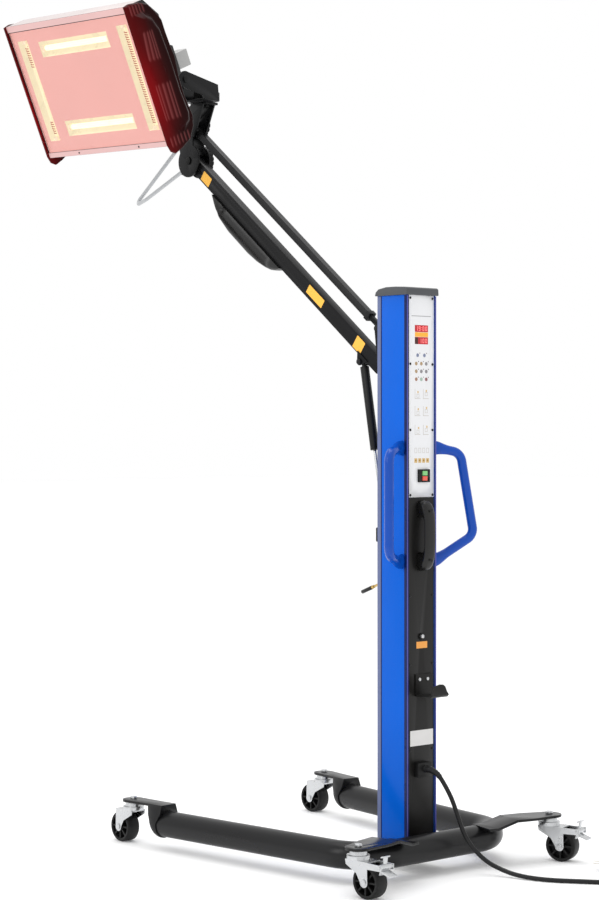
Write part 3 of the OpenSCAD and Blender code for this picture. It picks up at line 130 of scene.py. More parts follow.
def grain_group():
    """Shader group: fine noise for bumps and broad soft noise for uneven gloss and colour."""
    group = bpy.data.node_groups.new("surface_grain", "ShaderNodeTree")
    for name in ("Grain scale", "Patch scale", "Stretch X", "Stretch Z"):
        group.interface.new_socket(name, in_out="INPUT", socket_type="NodeSocketFloat")
    for name in ("Grain", "Patches"):
        group.interface.new_socket(name, in_out="OUTPUT", socket_type="NodeSocketFloat")
    nodes, link = group.nodes, group.links.new
    inward, outward = nodes.new("NodeGroupInput"), nodes.new("NodeGroupOutput")
    place = nodes.new("ShaderNodeTexCoord")
    stretch = nodes.new("ShaderNodeCombineXYZ")
    set_sockets(stretch, Y=1.0)
    link(inward.outputs["Stretch X"], stretch.inputs["X"])
    link(inward.outputs["Stretch Z"], stretch.inputs["Z"])
    spread = nodes.new("ShaderNodeVectorMath")
    spread.operation = "MULTIPLY"
    link(place.outputs["Object"], spread.inputs[0])
    link(stretch.outputs["Vector"], spread.inputs[1])
    for detail, vector, scale, result in ((3.0, spread.outputs["Vector"], "Grain scale", "Grain"),
                                          (4.0, place.outputs["Object"], "Patch scale", "Patches")):
        noise = nodes.new("ShaderNodeTexNoise")
        set_sockets(noise, Detail=detail)
        link(vector, noise.inputs["Vector"])
        link(inward.outputs[scale], noise.inputs["Scale"])
        link(noise.outputs["Fac"], outward.inputs[result])
    return group


GRAIN = grain_group()
GRAIN_DEPTH = 0.04 * MM


def tone_mix(nodes, low, high, blend="MIX"):
    """Colour mix node that goes from one colour to another."""
    tone = nodes.new("ShaderNodeMix")
    tone.data_type = "RGBA"
    tone.blend_type = blend
    tone.inputs["A"].default_value = (*low, 1)
    tone.inputs["B"].default_value = (*high, 1)
    return tone


def finish(name, color, rough, metal=0.0, grain=900, stretch=(1, 1), bump=0.15, patch=9, uneven=0.05,
           shade=0.1, specular=0.5, glow=None, **constants):
    """Material with a group of grain and patches: the patches vary gloss and shade, the grain gives bumps.
    stretch is the grain's density along X and Z, glow the colour the surface shines with: a lamp's own light,
    or lamp light painted onto a part that is no lamp."""
    material = bpy.data.materials.new(name)
    material.use_nodes = True
    nodes, link = material.node_tree.nodes, material.node_tree.links.new
    shader = nodes["Principled BSDF"]
    work = nodes.new("ShaderNodeGroup")
    work.node_tree = GRAIN
    set_sockets(work, Grain_scale=grain, Stretch_X=stretch[0], Stretch_Z=stretch[1], Patch_scale=patch)
    for socket, tint in (("Base Color", color), ("Emission Color", glow)):
        if tint:
            tone = tone_mix(nodes, [c * (1 - shade) for c in tint], [c * (1 + shade) for c in tint])
            link(work.outputs["Patches"], tone.inputs["Factor"])
            link(tone.outputs["Result"], shader.inputs[socket])
    if glow:
        set_sockets(shader, Emission_Strength=1.0)
    gloss = nodes.new("ShaderNodeMapRange")
    set_sockets(gloss, From_Min=0.3, From_Max=0.7, To_Min=max(0.02, rough - uneven),
                To_Max=min(1.0, rough + uneven))
    link(work.outputs["Patches"], gloss.inputs["Value"])
    link(gloss.outputs["Result"], shader.inputs["Roughness"])
    set_sockets(shader, Metallic=metal, Specular_IOR_Level=specular, **constants)
    if bump:
        relief = nodes.new("ShaderNodeBump")
        set_sockets(relief, Strength=bump, Distance=GRAIN_DEPTH)
        link(work.outputs["Grain"], relief.inputs["Height"])
        link(relief.outputs["Normal"], shader.inputs["Normal"])
    return material


SHARP_ABOVE = math.radians(38)


def new_piece(name, shape, material, body="stand", smooth=True):
    """Mesh object at the origin from (points, lists of corner numbers), riding on a body."""
    points, faces = shape
    mesh = bpy.data.meshes.new(name)
    corners = [list(map(int, face)) for face in faces]
    mesh.from_pydata(np.asarray(points, float).reshape(-1, 3).tolist(), [], corners)
    mesh.update()
    if smooth:
        mesh.shade_smooth()
        mesh.set_sharp_from_angle(angle=SHARP_ABOVE)
    piece = in_scene(name, mesh)
    mesh.materials.append(material)
    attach(piece, body)
    return piece


def grid_faces(rows, columns, around=True):
    """Quads of a grid of points whose columns close into a ring when around is true."""
    r, c = np.meshgrid(np.arange(rows - 1), np.arange(columns if around else columns - 1), indexing="ij")
    here, there, right = r * columns, (r + 1) * columns, (c + 1) % columns
    return np.stack([here + c, here + right, there + right, there + c], -1).reshape(-1, 4).tolist()


def ring_faces(rings, sides):
    """Quads between rings in a row, with one flat face over the first ring and one over the last."""
    last = (rings - 1) * sides
    return grid_faces(rings, sides) + [list(range(sides))[::-1], list(range(last, last + sides))]


def unit(vectors):
    """The vectors, each made 1 long."""
    return vectors / np.linalg.norm(vectors, axis=-1, keepdims=True)


def swept(path, radius, sides=24, up=(0, 0, 1)):
    """Rings square to a path: centre + a cos(t) side + b sin(t) top, with one radius or (a, b) along it."""
    path = np.asarray(path, float)
    along = unit(np.gradient(path, axis=0))
    up = np.asarray(up, float)
    top = unit(up - along * (along @ up)[:, None])
    side = np.cross(top, along)
    angle = np.linspace(0, 2 * np.pi, sides, endpoint=False)
    radius = np.asarray(radius, float)
    across, high = radius if radius.ndim == 2 else (radius, radius)
    across = np.broadcast_to(across, len(path))[:, None, None] * np.cos(angle)[None, :, None]
    high = np.broadcast_to(high, len(path))[:, None, None] * np.sin(angle)[None, :, None]
    rings = path[:, None] + across * side[:, None] + high * top[:, None]
    return rings.reshape(-1, 3), ring_faces(len(path), sides)


def turned(profile, origin, axis, sides=40):
    """Surface of revolution: each (distance along the axis, radius) of the profile goes once round."""
    profile = np.asarray(profile, float)
    axis = unit(np.asarray(axis, float))
    helper = np.array([0, 0, 1.0]) if abs(axis[2]) < 0.9 else np.array([1.0, 0, 0])
    side = unit(np.cross(axis, helper))
    top = np.cross(axis, side)
    angle = np.linspace(0, 2 * np.pi, sides, endpoint=False)
    ring = np.cos(angle)[:, None] * side + np.sin(angle)[:, None] * top
    rings = np.asarray(origin, float) + profile[:, None, :1] * axis + profile[:, None, 1:] * ring[None]
    return rings.reshape(-1, 3), ring_faces(len(profile), sides)


def joined(shapes):
    """One shape of several: each shape's corner numbers are moved on by the points before it."""
    start, points, faces = 0, [], []
    for shape_points, shape_faces in shapes:
        points.append(np.asarray(shape_points, float).reshape(-1, 3))
        faces += [[i + start for i in face] for face in shape_faces]
        start += len(points[-1])
    return np.concatenate(points), faces


CORD_D = 10.5 * MM
CORD_LOW = CORD_D / 2 + 0.25 * MM
CORD_ROUTE = np.array([
    (0, -67, 236), (0, -79, 236), (4, -100, 226), (9, -118, 203), (15, -134, 173), (23, -145, 136),
    (31, -154, 102), (42, -165, 72), (55, -179, 49), (67, -200, 30), (79, -228, 17), (88, -264, 9),
    (99, -306, 6), (119, -352, 5.5), (150, -394, 5.5), (184, -437, 5.5), (210, -471, 5.5),
    (229, -496, 5.5), (237, -506.5, 5.5)]) * MM
COIL_R, COIL_TURNS, COIL_GAP, COIL_TAIL = 78 * MM, 3.5, 0.5 * MM, 45 * MM


def smooth_route(p, steps):
    """Cubic curve through the points, each slope half the step between the neighbours, with straight ends."""
    line = [p[0]]
    for i in range(1, len(p) - 2):
        a, b, c, d = p[i - 1], p[i], p[i + 1], p[min(i + 2, len(p) - 1)]
        for t in np.arange(steps) / steps:
            line.append(0.5 * (2 * b + (c - a) * t + (2 * a - 5 * b + 4 * c - d) * t ** 2
                               + (3 * b - a - 3 * c + d) * t ** 3))
    return np.array(line + [p[-2], p[-1]])


def coil_line(start, before, per_turn):
    """Flat coil of two layers: r falls by a pitch each turn, and rises again on the second layer."""
    heading = unit(start - before)
    side = np.array([-heading[1], heading[0], 0.0])
    middle = start + heading * CORD_D + side * COIL_R
    pitch = CORD_D + COIL_GAP
    total = 2 * COIL_TURNS + 0.5
    t = np.arange(1, int(total * per_turn) + 1) / per_turn
    turn = math.atan2(-side[1], -side[0]) + 2 * np.pi * t
    radius = COIL_R - pitch * np.minimum(t, total - t)
    height = CORD_LOW + pitch * np.clip((t - COIL_TURNS) / 0.5, 0, 1)
    loops = np.stack([middle[0] + radius * np.cos(turn), middle[1] + radius * np.sin(turn), height], -1)
    last = turn[-1] + np.pi / 2
    away = np.array([math.cos(last), math.sin(last), 0.0])
    return loops, away, start + heading * CORD_D * 0.9


cord_free = smooth_route(CORD_ROUTE, 6)
cord_loops, plug_way, coil_entry = coil_line(CORD_ROUTE[-1], CORD_ROUTE[-2], 48)
cord_end = cord_loops[-1] + plug_way * COIL_TAIL
cord_line = np.concatenate([cord_free, [coil_entry], cord_loops, [cord_end]]) + COLUMN
cord_rubber = finish("cord_rubber", (0.006, 0.006, 0.0065), 0.42, grain=1400, patch=30, specular=0.3)
mains_cord = new_piece("mains_cord_tube", swept(cord_line, CORD_D / 2, 16), cord_rubber)
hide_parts("mains_cord", "cord_coil")

# Strain relief at the inlet: a ribbed tapered sleeve moulded over the cord's first 45 mm.
run = np.concatenate([[0], np.cumsum(np.linalg.norm(np.diff(cord_line, axis=0), axis=1))])
SLEEVE_LENGTH, SLEEVE_R, RIB_PITCH, RIB_DEPTH = 45 * MM, (8.6 * MM, 6.2 * MM), 6 * MM, 0.7 * MM
sleeve_s = np.linspace(0.0, SLEEVE_LENGTH, 46)
sleeve_line = np.stack([np.interp(sleeve_s, run, cord_line[:, k]) for k in range(3)], -1)
between_ribs = np.sin(sleeve_s / RIB_PITCH * 2 * np.pi) > 0.2
sleeve_r = np.interp(sleeve_s, (0, SLEEVE_LENGTH), SLEEVE_R) - RIB_DEPTH * between_ribs
strain_relief = new_piece("strain_relief", swept(sleeve_line, sleeve_r, 28), cord_rubber)

# Plug: round moulded two-pin plug with a ribbed neck, lying at the coil's free end.
PLUG_R, PIN_APART = 18.5, 9.5
plug_start = cord_line[-1]
plug_black = finish("plug_plastic", (0.018, 0.018, 0.019), 0.38, grain=1200)
pin_nickel = finish("pin_nickel", (0.72, 0.7, 0.66), 0.22, metal=1.0, grain=500, bump=0.05)
neck_profile = np.array([(0, 5.6), (0, 6.6), (4, 7.4), (5, 6.6), (8, 7.4), (9, 6.6), (12, 7.5), (13, 6.8),
                         (16, 7.5), (17, 7), (26, 7.5), (27, 2)]) * MM
body_profile = np.array([(25.2, 3), (25.2, 10), (28, 13.5), (34, 17.2), (40, PLUG_R - 0.3),
                         (57.5, PLUG_R), (58.8, PLUG_R - 1.2), (58.9, 4)]) * MM
plug_middle = np.array([*plug_start[:2], (PLUG_R + 0.25) * MM])
plug_shapes = [turned(neck_profile, plug_start, plug_way), turned(body_profile, plug_middle, plug_way)]
plug = new_piece("plug_moulding", joined(plug_shapes), plug_black)
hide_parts("plug")
pin_side = np.array([-plug_way[1], plug_way[0], 0.0]) * PIN_APART * MM
pin_profile = np.array([(58.5, 0.5), (58.5, 2.4), (76.8, 2.4), (77.9, 1.6), (78, 0.4)]) * MM
pins = [turned(pin_profile, plug_middle + pin_side * place, plug_way, 24) for place in (-1, 1)]
new_piece("plug_pins", joined(pins), pin_nickel)

# Base tube: one steel tube, 64 mm thick, bent to a U that opens toward +Y and powder coated black.
TUBE_R, TUBE_Z, TUBE_BEND = 32.0, 61.0, 105.0
TUBE_CROSS_Y, TUBE_END_Y, TUBE_CROSS_X, TUBE_END_X = -99.0, 537.3, 228.3, 303.4
record = frame["record"]
BODY = {node: body for body, nodes in record["behaviour"]["bodies"].items() for node in nodes}


def placed(points):
    """Points in millimetres from the column's foot as metres in the frame."""
    return np.asarray(points, float) * MM + COLUMN


def rounded_path(points, bend, steps=10):
    """Straight runs with each corner replaced by an arc of the bend radius, tangent to both runs."""
    points = [np.asarray(p, float) for p in points]
    line = [points[0]]
    for before, corner, after in zip(points, points[1:], points[2:]):
        first, second = unit(corner - before), unit(after - corner)
        turn = math.acos(float(first @ second))
        side = unit(second - first * (first @ second))
        middle = corner - first * bend * math.tan(turn / 2) + side * bend
        line += [middle + bend * (math.sin(turn * k / steps) * first - math.cos(turn * k / steps) * side)
                 for k in range(steps + 1)]
    return np.array(line + [points[-1]])


def stands_for(piece, node):
    """The piece replaces the node, which is hidden."""
    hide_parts(node)
    return piece


black_coat = finish("black_powder_coat", (0.006, 0.006, 0.0065), 0.3, grain=1100, bump=0.2, patch=6,
                    specular=0.28)
tube_corners = [(-TUBE_END_X, TUBE_END_Y, TUBE_Z), (-TUBE_CROSS_X, TUBE_CROSS_Y, TUBE_Z),
                (TUBE_CROSS_X, TUBE_CROSS_Y, TUBE_Z), (TUBE_END_X, TUBE_END_Y, TUBE_Z)]
tube_line = placed(rounded_path(tube_corners, TUBE_BEND, 20))
stands_for(new_piece("base_tube", swept(tube_line, TUBE_R * MM, 72), black_coat), "base_frame")


# Castor brackets and the column's foot: folded and welded steel, coated with the tube.
def eased(node, materials, width=0.0008, segments=2, angle=32, choose=None):
    """The CAD node's own shape with its triangles joined, flat ones merged, and its sharp edges rounded.
    choose gives each face, by its middle, the number of its material."""
    mesh = frame["nodes"][node].data.copy()
    piece = in_scene(node + "_eased", mesh)
    shape = bmesh.new()
    shape.from_mesh(mesh)
    bmesh.ops.remove_doubles(shape, verts=shape.verts, dist=2e-6)
    bmesh.ops.dissolve_limit(shape, angle_limit=math.radians(0.5), verts=shape.verts, edges=shape.edges)
    shape.to_mesh(mesh)
    shape.free()
    mesh.materials.clear()
    for material in materials if isinstance(materials, list) else [materials]:
        mesh.materials.append(material)
    middles = np.empty(len(mesh.polygons) * 3)
    mesh.polygons.foreach_get("center", middles)
    chosen = choose(middles.reshape(-1, 3)) if choose else np.zeros(len(mesh.polygons))
    mesh.polygons.foreach_set("material_index", chosen.astype(np.int32))
    mesh.shade_smooth()
    if width:
        edge = piece.modifiers.new("eased_edges", "BEVEL")
        edge.width = width
        edge.segments = segments
        edge.limit_method = "ANGLE"
        edge.angle_limit = math.radians(angle)
        edge.harden_normals = True
        edge.use_clamp_overlap = True
    else:
        mesh.set_sharp_from_angle(angle=math.radians(angle))
    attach(piece, BODY[node])
    return stands_for(piece, node)


for node in ("castor_brackets", "column_foot"):
    eased(node, black_coat, 0.001)

# Castor forks, axles and pedals: pressed steel, zinc plated.
zinc = finish("zinc_plate", (0.56, 0.57, 0.58), 0.3, metal=1.0, grain=60, stretch=(8, 8), bump=0.05,
              patch=40, uneven=0.1, shade=0.12)
for place in ("fl", "fr", "rl", "rr"):
    eased("castor_fork_" + place, zinc, 0.0006)
    eased("castor_axle_" + place, zinc, 0.0004)
for place in ("rl", "rr"):
    eased("brake_pedal_" + place, zinc, 0.0006)

# Castor wheels: hard black tread on a spoked black hub.
tread = finish("castor_rubber", (0.006, 0.006, 0.006), 0.5, grain=700, bump=0.2, patch=30, specular=0.25)
for place in ("fl", "fr", "rl", "rr"):
    eased("castor_wheel_" + place, tread, 0.0007)

# Bolts and screws: zinc plated castor stems, foot bolts and hook screws, black panel and grip screws.
FOOT_BOLTS_TOP, HOOK_SCREW_Z, HOOK_SCREW_FRONT = 0.15, (0.43, 0.46), 50.8 * MM
black_screw = finish("black_screw", (0.004, 0.004, 0.005), 0.4, specular=0.3)


def screw_finish(middles):
    """Black for what is above the foot, but bright between the hook screws' lowest and highest points."""
    z, front = middles[:, 2], middles[:, 1] < COLUMN[1] - HOOK_SCREW_FRONT
    return (z > FOOT_BOLTS_TOP) & ~((z > HOOK_SCREW_Z[0]) & (z < HOOK_SCREW_Z[1]) & front)


eased("stand_fasteners", [zinc, black_screw], 0.0004, choose=screw_finish)

# Column: blue coated aluminium extrusion, with a bare grey band by the rear edge of each side, dark bands of
# painted shade in the grooves by it and by the front corners, and a thin painted highlight in lilac along
# each front corner.
blue_coat = finish("blue_coat", (0.002, 0.11, 0.6), 0.16, grain=500, bump=0.02, patch=4, uneven=0.03,
                   shade=0.12, specular=0.09)
eased("column_profile", blue_coat)
COLUMN_HALF, COLUMN_FRONT, COLUMN_LOW, COLUMN_TOP, STRIP_T = 48.0, -50.0, 60.0, 1341.0, 0.25


def slab(u, v, low, high, corner=0.0, steps=4):
    """Plate in (u, v, height): a rectangle with corners rounded by quarter circles, from low to high."""
    (u0, u1), (v0, v1) = u, v
    corner = max(corner, 0.01)
    middles = [(u1 - corner, v1 - corner), (u0 + corner, v1 - corner), (u0 + corner, v0 + corner),
               (u1 - corner, v0 + corner)]
    ring = []
    for quarter, middle in enumerate(middles):
        turn = np.linspace(0, np.pi / 2, steps) + quarter * np.pi / 2
        ring.append(middle + corner * np.stack([np.cos(turn), np.sin(turn)], -1))
    ring = np.concatenate(ring)
    levels = [np.column_stack([ring, np.full(len(ring), level)]) for level in (low, high)]
    return np.concatenate(levels), ring_faces(2, len(ring))


def flipped(faces, mirrored):
    """The faces, with their corners the other way round where the shape is mirrored."""
    return [face[::-1] for face in faces] if mirrored else faces


def on_side(shape, side):
    """(toward the front, up, out of the face) on the column's face at side -1 or 1 as frame points."""
    points, faces = shape
    out = COLUMN_HALF + points[:, 2]
    turned_points = np.stack([side * out, -points[:, 0], points[:, 1]], -1)
    return placed(turned_points), flipped(faces, side > 0)


def on_front(shape, face_y):
    """(right, up, out of the face) on a face that looks toward -Y as frame points."""
    points, faces = shape
    return placed(np.stack([points[:, 0], face_y - points[:, 2], points[:, 1]], -1)), faces


def bands(name, put, faces, widths, material):
    """Thin bands up the column's height, of the same widths on each of the faces, as one piece."""
    heights = (COLUMN_LOW + 1, COLUMN_TOP - 1)
    shapes = [put(slab(u, heights, 0, STRIP_T), face) for face in faces for u in widths]
    new_piece(name, joined(shapes), material)


band_grey = finish("band_grey", (0.13, 0.16, 0.3), 0.3, grain=30, stretch=(30, 1), bump=0.03, specular=0.3)
# Painted shade: dark navy bands stand in for the shade in the column's grooves.
groove_painted_shade = finish("groove_painted_shade", (0.004, 0.012, 0.075), 0.3, grain=500, specular=0.2)
# Painted highlight: a pale lilac line along each rounded front corner.
corner_painted_highlight = finish("corner_painted_highlight", (0.085, 0.09, 0.38), 0.25, grain=500, specular=0.2)
bands("side_bands", on_side, (-1, 1), [(-49.6, -38)], band_grey)
bands("side_grooves", on_side, (-1, 1), [(-38, -34.8), (41.5, 49.2)], groove_painted_shade)
bands("front_grooves", on_front, (COLUMN_FRONT,), [(41.2, 44.2), (-44.2, -41.2)], groove_painted_shade)
bands("front_corners", on_front, (COLUMN_FRONT,), [(44.4, 47.6), (-47.6, -44.4)], corner_painted_highlight)

# Column cap: moulded dark grey plastic, rounded over its front edge.
cap_grey = finish("cap_grey", (0.062, 0.066, 0.072), 0.42, grain=1500, bump=0.2, patch=14, specular=0.4)
eased("column_cap", cap_grey, 0.002, 3)

# Control panel: silver foil on sheet metal, and the black coated sheet below it.
PANEL_FACE = -49.0
silver_plate = finish("silver_plate", (0.79, 0.795, 0.81), 0.34, metal=0.1, grain=30, stretch=(40, 1),
                      bump=0.03, patch=6, shade=0.03, specular=0.3)
black_plate = finish("black_plate", (0.008, 0.0075, 0.007), 0.36, bump=0.1, patch=8, specular=0.26)
eased("control_panel", silver_plate, 0.0003)
eased("lower_panel", black_plate, 0.0003)

# Printed marks on the panel: a rule, an orange bar between the displays, plain line drawings, outlined
# squares and orange squares, all without words, and the bare labels on the black sheet.
MARK_T = 0.12


def marks(name, rectangles, material, low=0.0, high=MARK_T, corner=0.0, face_y=PANEL_FACE):
    """Flat rectangles (x, x, z, z) of one colour on a face that looks toward -Y, as one piece."""
    shapes = [on_front(slab((x0, x1), (z0, z1), low, high, corner), face_y)
              for x0, x1, z0, z1 in rectangles]
    return new_piece(name, joined(shapes), material, smooth=False)


def outline(x0, x1, z0, z1, line=0.7):
    """Four thin rectangles round a rectangle."""
    return [(x0, x1, z0, z0 + line), (x0, x1, z1 - line, z1),
            (x0, x0 + line, z0, z1), (x1 - line, x1, z0, z1)]


INKS = {"grey": ((0.36, 0.36, 0.37), 0.5), "pale": ((0.5, 0.46, 0.4), 0.5),
        "orange": ((0.93, 0.44, 0.06), 0.45), "ochre": ((0.66, 0.46, 0.2), 0.45),
        "brown": ((0.3, 0.17, 0.05), 0.45)}
ink = {tone: finish("ink_" + tone, *look, bump=0, specular=0.2) for tone, look in INKS.items()}
marks("panel_rule", [(-32, 31, 1291.2, 1293)], ink["grey"])
marks("display_bar", [(-21, 22, 1243.6, 1254.2)], ink["orange"])
DRAWING_ROWS, DRAWING_COLUMNS = (1099, 1059, 1015), (-21, 6)
drawings, solid_parts = [], []
for row, z in enumerate(DRAWING_ROWS):
    for column, x in enumerate(DRAWING_COLUMNS):
        drawings += [(x, x + 0.9, z, z + 23), (x, x + 18, z, z + 0.9)]
        drawings += outline(x + 6, x + 14, z + 3 + 4 * column, z + 11 + 4 * column)
        solid_parts.append((x + 8 + row, x + 12 + row, z + 13 + 3 * column, z + 18 + 3 * column))
marks("panel_drawings", drawings, ink["pale"])
marks("panel_drawing_fills", solid_parts, ink["ochre"])
SQUARE_X = (-18.0, -5.3, 7.5, 20.2)
marks("outlined_squares", sum([outline(x - 3.8, x + 3.8, 972.5, 984) for x in SQUARE_X], []), ink["pale"])
marks("orange_squares", [(x - 4.8, x + 4.8, 949.5, 960) for x in SQUARE_X], ink["ochre"])
marks("orange_square_dots", [(x - 2.2, x + 2.2, 953, 957) for x in SQUARE_X], ink["brown"],
      high=0.2, corner=1.9)
label_white = finish("label_white", (0.7, 0.69, 0.68), 0.5, grain=60, bump=0.03, specular=0.3)
label_orange = finish("label_orange", (0.8, 0.34, 0.07), 0.45, grain=60, bump=0.03, specular=0.3)
marks("lower_white_label", [(-36, 38, 289, 325)], label_white, corner=1.0)
marks("lower_orange_label", [(-16, 19, 516, 531.5)], label_orange, corner=1.0)

# Displays: red windows, each with plain glowing digits of seven bars.
window_red = finish("window_red", (0.36, 0.004, 0.01), 0.2, bump=0, shade=0.25, patch=60,
                    glow=(0.12, 0.0, 0.002))
eased("display_windows", window_red, 0.0)
window_dark = finish("window_dark", (0.045, 0.004, 0.0), 0.2, bump=0)
digit_glow = finish("digit_glow", (0.5, 0.1, 0.1), 0.3, bump=0, shade=0.05, glow=(0.85, 0.22, 0.22))
SEGMENTS = {"0": "abcdef", "1": "bc", "9": "abcdfg"}
DIGIT_W, DIGIT_H, BAR = 5.6, 10.4, 1.5


def digit(character, x, z):
    """Seven-bar digit as rectangles: three level bars and four upright ones, each lit or left out."""
    half = DIGIT_H / 2
    left, right, whole = (0, BAR), (DIGIT_W - BAR, DIGIT_W), (0, DIGIT_W)
    bars = {"a": (*whole, DIGIT_H - BAR, DIGIT_H), "g": (*whole, half - BAR / 2, half + BAR / 2),
            "d": (*whole, 0, BAR), "b": (*right, half, DIGIT_H), "c": (*right, 0, half),
            "f": (*left, half, DIGIT_H), "e": (*left, 0, half)}
    return [(x + bars[k][0], x + bars[k][1], z + bars[k][2], z + bars[k][3]) for k in SEGMENTS[character]]


WINDOW_FACE = PANEL_FACE + 0.2
digits = sum([digit(c, x, 1257.8) for c, x in zip("1900", (-17.5, -8.5, 4.0, 13.0))], [])
digits += sum([digit(c, x, 1229.3) for c, x in zip("100", (-5.5, 4.0, 13.0))], [])
digits += [(0.1, 1.5, 1259.6, 1261.2), (0.1, 1.5, 1264.4, 1266)]
marks("display_digits", digits, digit_glow, high=0.18, face_y=WINDOW_FACE)
marks("display_shadow", [(-20.7, -10.5, 1226.8, 1242.3)], window_dark, high=0.1, face_y=WINDOW_FACE)

# Keypad: eleven domed foil keys in muted colours, each with its small dark lamp.
KEY_R, KEY_RISE, LED_R, LED_SHIFT = 4.4, 1.4, 1.25, (7.0, 5.0)
KEY_PLACES = ([(x, 1200.5) for x in (-12, 10)]
              + [(x, z) for z in (1181, 1163, 1144.5) for x in (-16.5, 0, 16)])
KEY_TONES = {"blue": ((0.2, 0.23, 0.34), (0, 1)), "tan": ((0.4, 0.28, 0.16), (2, 3, 5)),
             "grey": ((0.26, 0.25, 0.26), (4, 6, 7)), "brown": ((0.36, 0.2, 0.13), (8,)),
             "green": ((0.34, 0.46, 0.38), (9,)), "red": ((0.28, 0.12, 0.12), (10,))}
share = np.linspace(1, 0, 9)
dome = [(KEY_RISE * (1 - s ** 2.6) * MM, KEY_R * max(s, 0.02) * MM) for s in share]
for tone, (key_color, numbers) in KEY_TONES.items():
    key_foil = finish("key_" + tone, key_color, 0.4, grain=800, bump=0.05, specular=0.3)
    domes = [turned(dome, placed((KEY_PLACES[i][0], PANEL_FACE, KEY_PLACES[i][1])), (0, -1, 0), 28)
             for i in numbers]
    keys = new_piece("keys_" + tone, joined(domes), key_foil)
    if tone == "blue":
        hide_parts("keypad")
led_dark = finish("led_dark", (0.13, 0.1, 0.1), 0.3, bump=0)
led_dome = [(0.0, LED_R * MM), (0.5 * MM, 0.9 * LED_R * MM), (0.8 * MM, 0.1 * LED_R * MM)]
leds = [turned(led_dome, placed((x + LED_SHIFT[0], PANEL_FACE, z + LED_SHIFT[1])), (0, -1, 0), 16)
        for x, z in KEY_PLACES]
new_piece("key_lamps", joined(leds), led_dark)

# Mains switch: black moulded housing with a green and a red press button.
black_moulding = finish("black_moulding", (0.006, 0.006, 0.006), 0.4, grain=1500, bump=0.2, patch=14,
                        specular=0.28)
eased("switch_housing", black_moulding, 0.0006)
green_key = finish("green_key", (0.22, 0.58, 0.2), 0.3, bump=0.05)
red_key = finish("red_key", (0.78, 0.11, 0.07), 0.3, bump=0.05)
eased("start_button", green_key)
eased("stop_button", red_key)

# Front grip: moulded black bow that stands clear of the black sheet, full and round at its two ends.
OUTER_CURVE, INNER_CURVE = (779.5, 82.4, 0.75, 34.4, 0.5), (781.5, 40.5, 0.6, 24.0, 0.45)
GRIP_HALF_W = 16.5


def signed_power(values, power):
    """sign(x) |x|^p, which makes superellipses of sines and cosines."""
    return np.sign(values) * np.abs(values) ** power


def bow(rings=72, sides=40):
    """Rounded ovals between an outer and an inner superellipse, each (middle, half height, its power, reach,
    its power): as thick as the gap between the two curves and as wide as the grip."""
    turn = np.linspace(-np.pi / 2, np.pi / 2, rings)
    outer, inner = (np.stack([0 * turn, PANEL_FACE - reach * np.abs(np.cos(turn)) ** deep,
                              middle + half * signed_power(np.sin(turn), tall)], -1)
                    for middle, half, tall, reach, deep in (OUTER_CURVE, INNER_CURVE))
    around = np.linspace(0, 2 * np.pi, sides, endpoint=False)
    thick = signed_power(np.cos(around), 0.75)
    wide = signed_power(np.sin(around), 0.75) * GRIP_HALF_W
    rows = (outer + inner)[:, None] / 2 + (outer - inner)[:, None] / 2 * thick[None, :, None]
    rows = rows + np.array([1.0, 0, 0]) * wide[None, :, None]
    return placed(rows.reshape(-1, 3)), ring_faces(rings, sides)


grip_black = finish("grip_black", (0.006, 0.0058, 0.0055), 0.3, grain=1500, bump=0.2, patch=14,
                    specular=0.35)
stands_for(new_piece("front_grip_bow", bow(), grip_black), "front_grip")

# Reset button in its collar, cable hook of bent sheet, and the cord inlet's moulded block.
bright_cap = finish("bright_cap", (0.55, 0.55, 0.56), 0.25, metal=0.8, grain=500, bump=0.05)
eased("reset_collar", black_moulding)
eased("reset_button", bright_cap)
eased("cable_hook", black_plate)
eased("cord_inlet", black_moulding)

# Inside the column: green circuit board on spacers, and a white relay with its terminal block.
board_green = finish("board_green", (0.02, 0.16, 0.05), 0.4, grain=300, bump=0.05)
relay_white = finish("relay_white", (0.75, 0.74, 0.7), 0.45, bump=0.08)
eased("control_board", board_green, 0.0002)
eased("power_relay", relay_white, 0.0006)

# Side handles: bent tubes of the column's blue, painted darker for the shade on them, pressed flat and tall
# where they meet it.
HANDLE_R, HANDLE_Y, HANDLE_TOP, HANDLE_LOW, HANDLE_BEND = 11.0, -36.0, 984.0, 720.0, 28
STUB_X, TOP_BEND, LOW_BENDS = (48.2, 62), (116, -62, 972), {-1: (118, -64, 738), 1: (138, -84, 778)}
FLARE_LENGTH, FLARE_THIN, FLARE_TALL = 46, 6.5, 17.5


def handle(side):
    """Tube along a bent path: its section goes from a tall flat oval at the column to a circle."""
    top, low = ([(x, HANDLE_Y, z) for x in STUB_X] for z in (HANDLE_TOP, HANDLE_LOW))
    line = rounded_path([*top, TOP_BEND, LOW_BENDS[side], *low[::-1]], HANDLE_BEND, 12)
    legs = [line[:1]]
    for a, b in zip(line, line[1:]):
        steps = max(2, int(np.linalg.norm(b - a) / 4))
        legs.append(a + (b - a) * np.linspace(0, 1, steps)[1:, None])
    line = np.concatenate(legs)
    length = np.concatenate([[0], np.cumsum(np.linalg.norm(np.diff(line, axis=0), axis=1))])
    reach = np.clip(np.minimum(length, length[-1] - length) / FLARE_LENGTH, 0, 1)
    smooth = reach * reach * (3 - 2 * reach)
    tall, thin = ((flare + (HANDLE_R - flare) * smooth) * MM for flare in (FLARE_TALL, FLARE_THIN))
    return swept(line * (side, 1, 1) * MM + COLUMN, np.stack([tall, thin]), 36, (0, 1, 0))


# Painted shade: a darker copy of the column's blue coat.
handle_blue_painted_shade = finish("handle_blue_painted_shade", (0.002, 0.062, 0.4), 0.14, grain=500, bump=0.02, patch=4,
                     uneven=0.03, shade=0.12, specular=0.3)
stands_for(new_piece("side_handle_tubes", joined([handle(-1), handle(1)]), handle_blue_painted_shade), "side_handles")

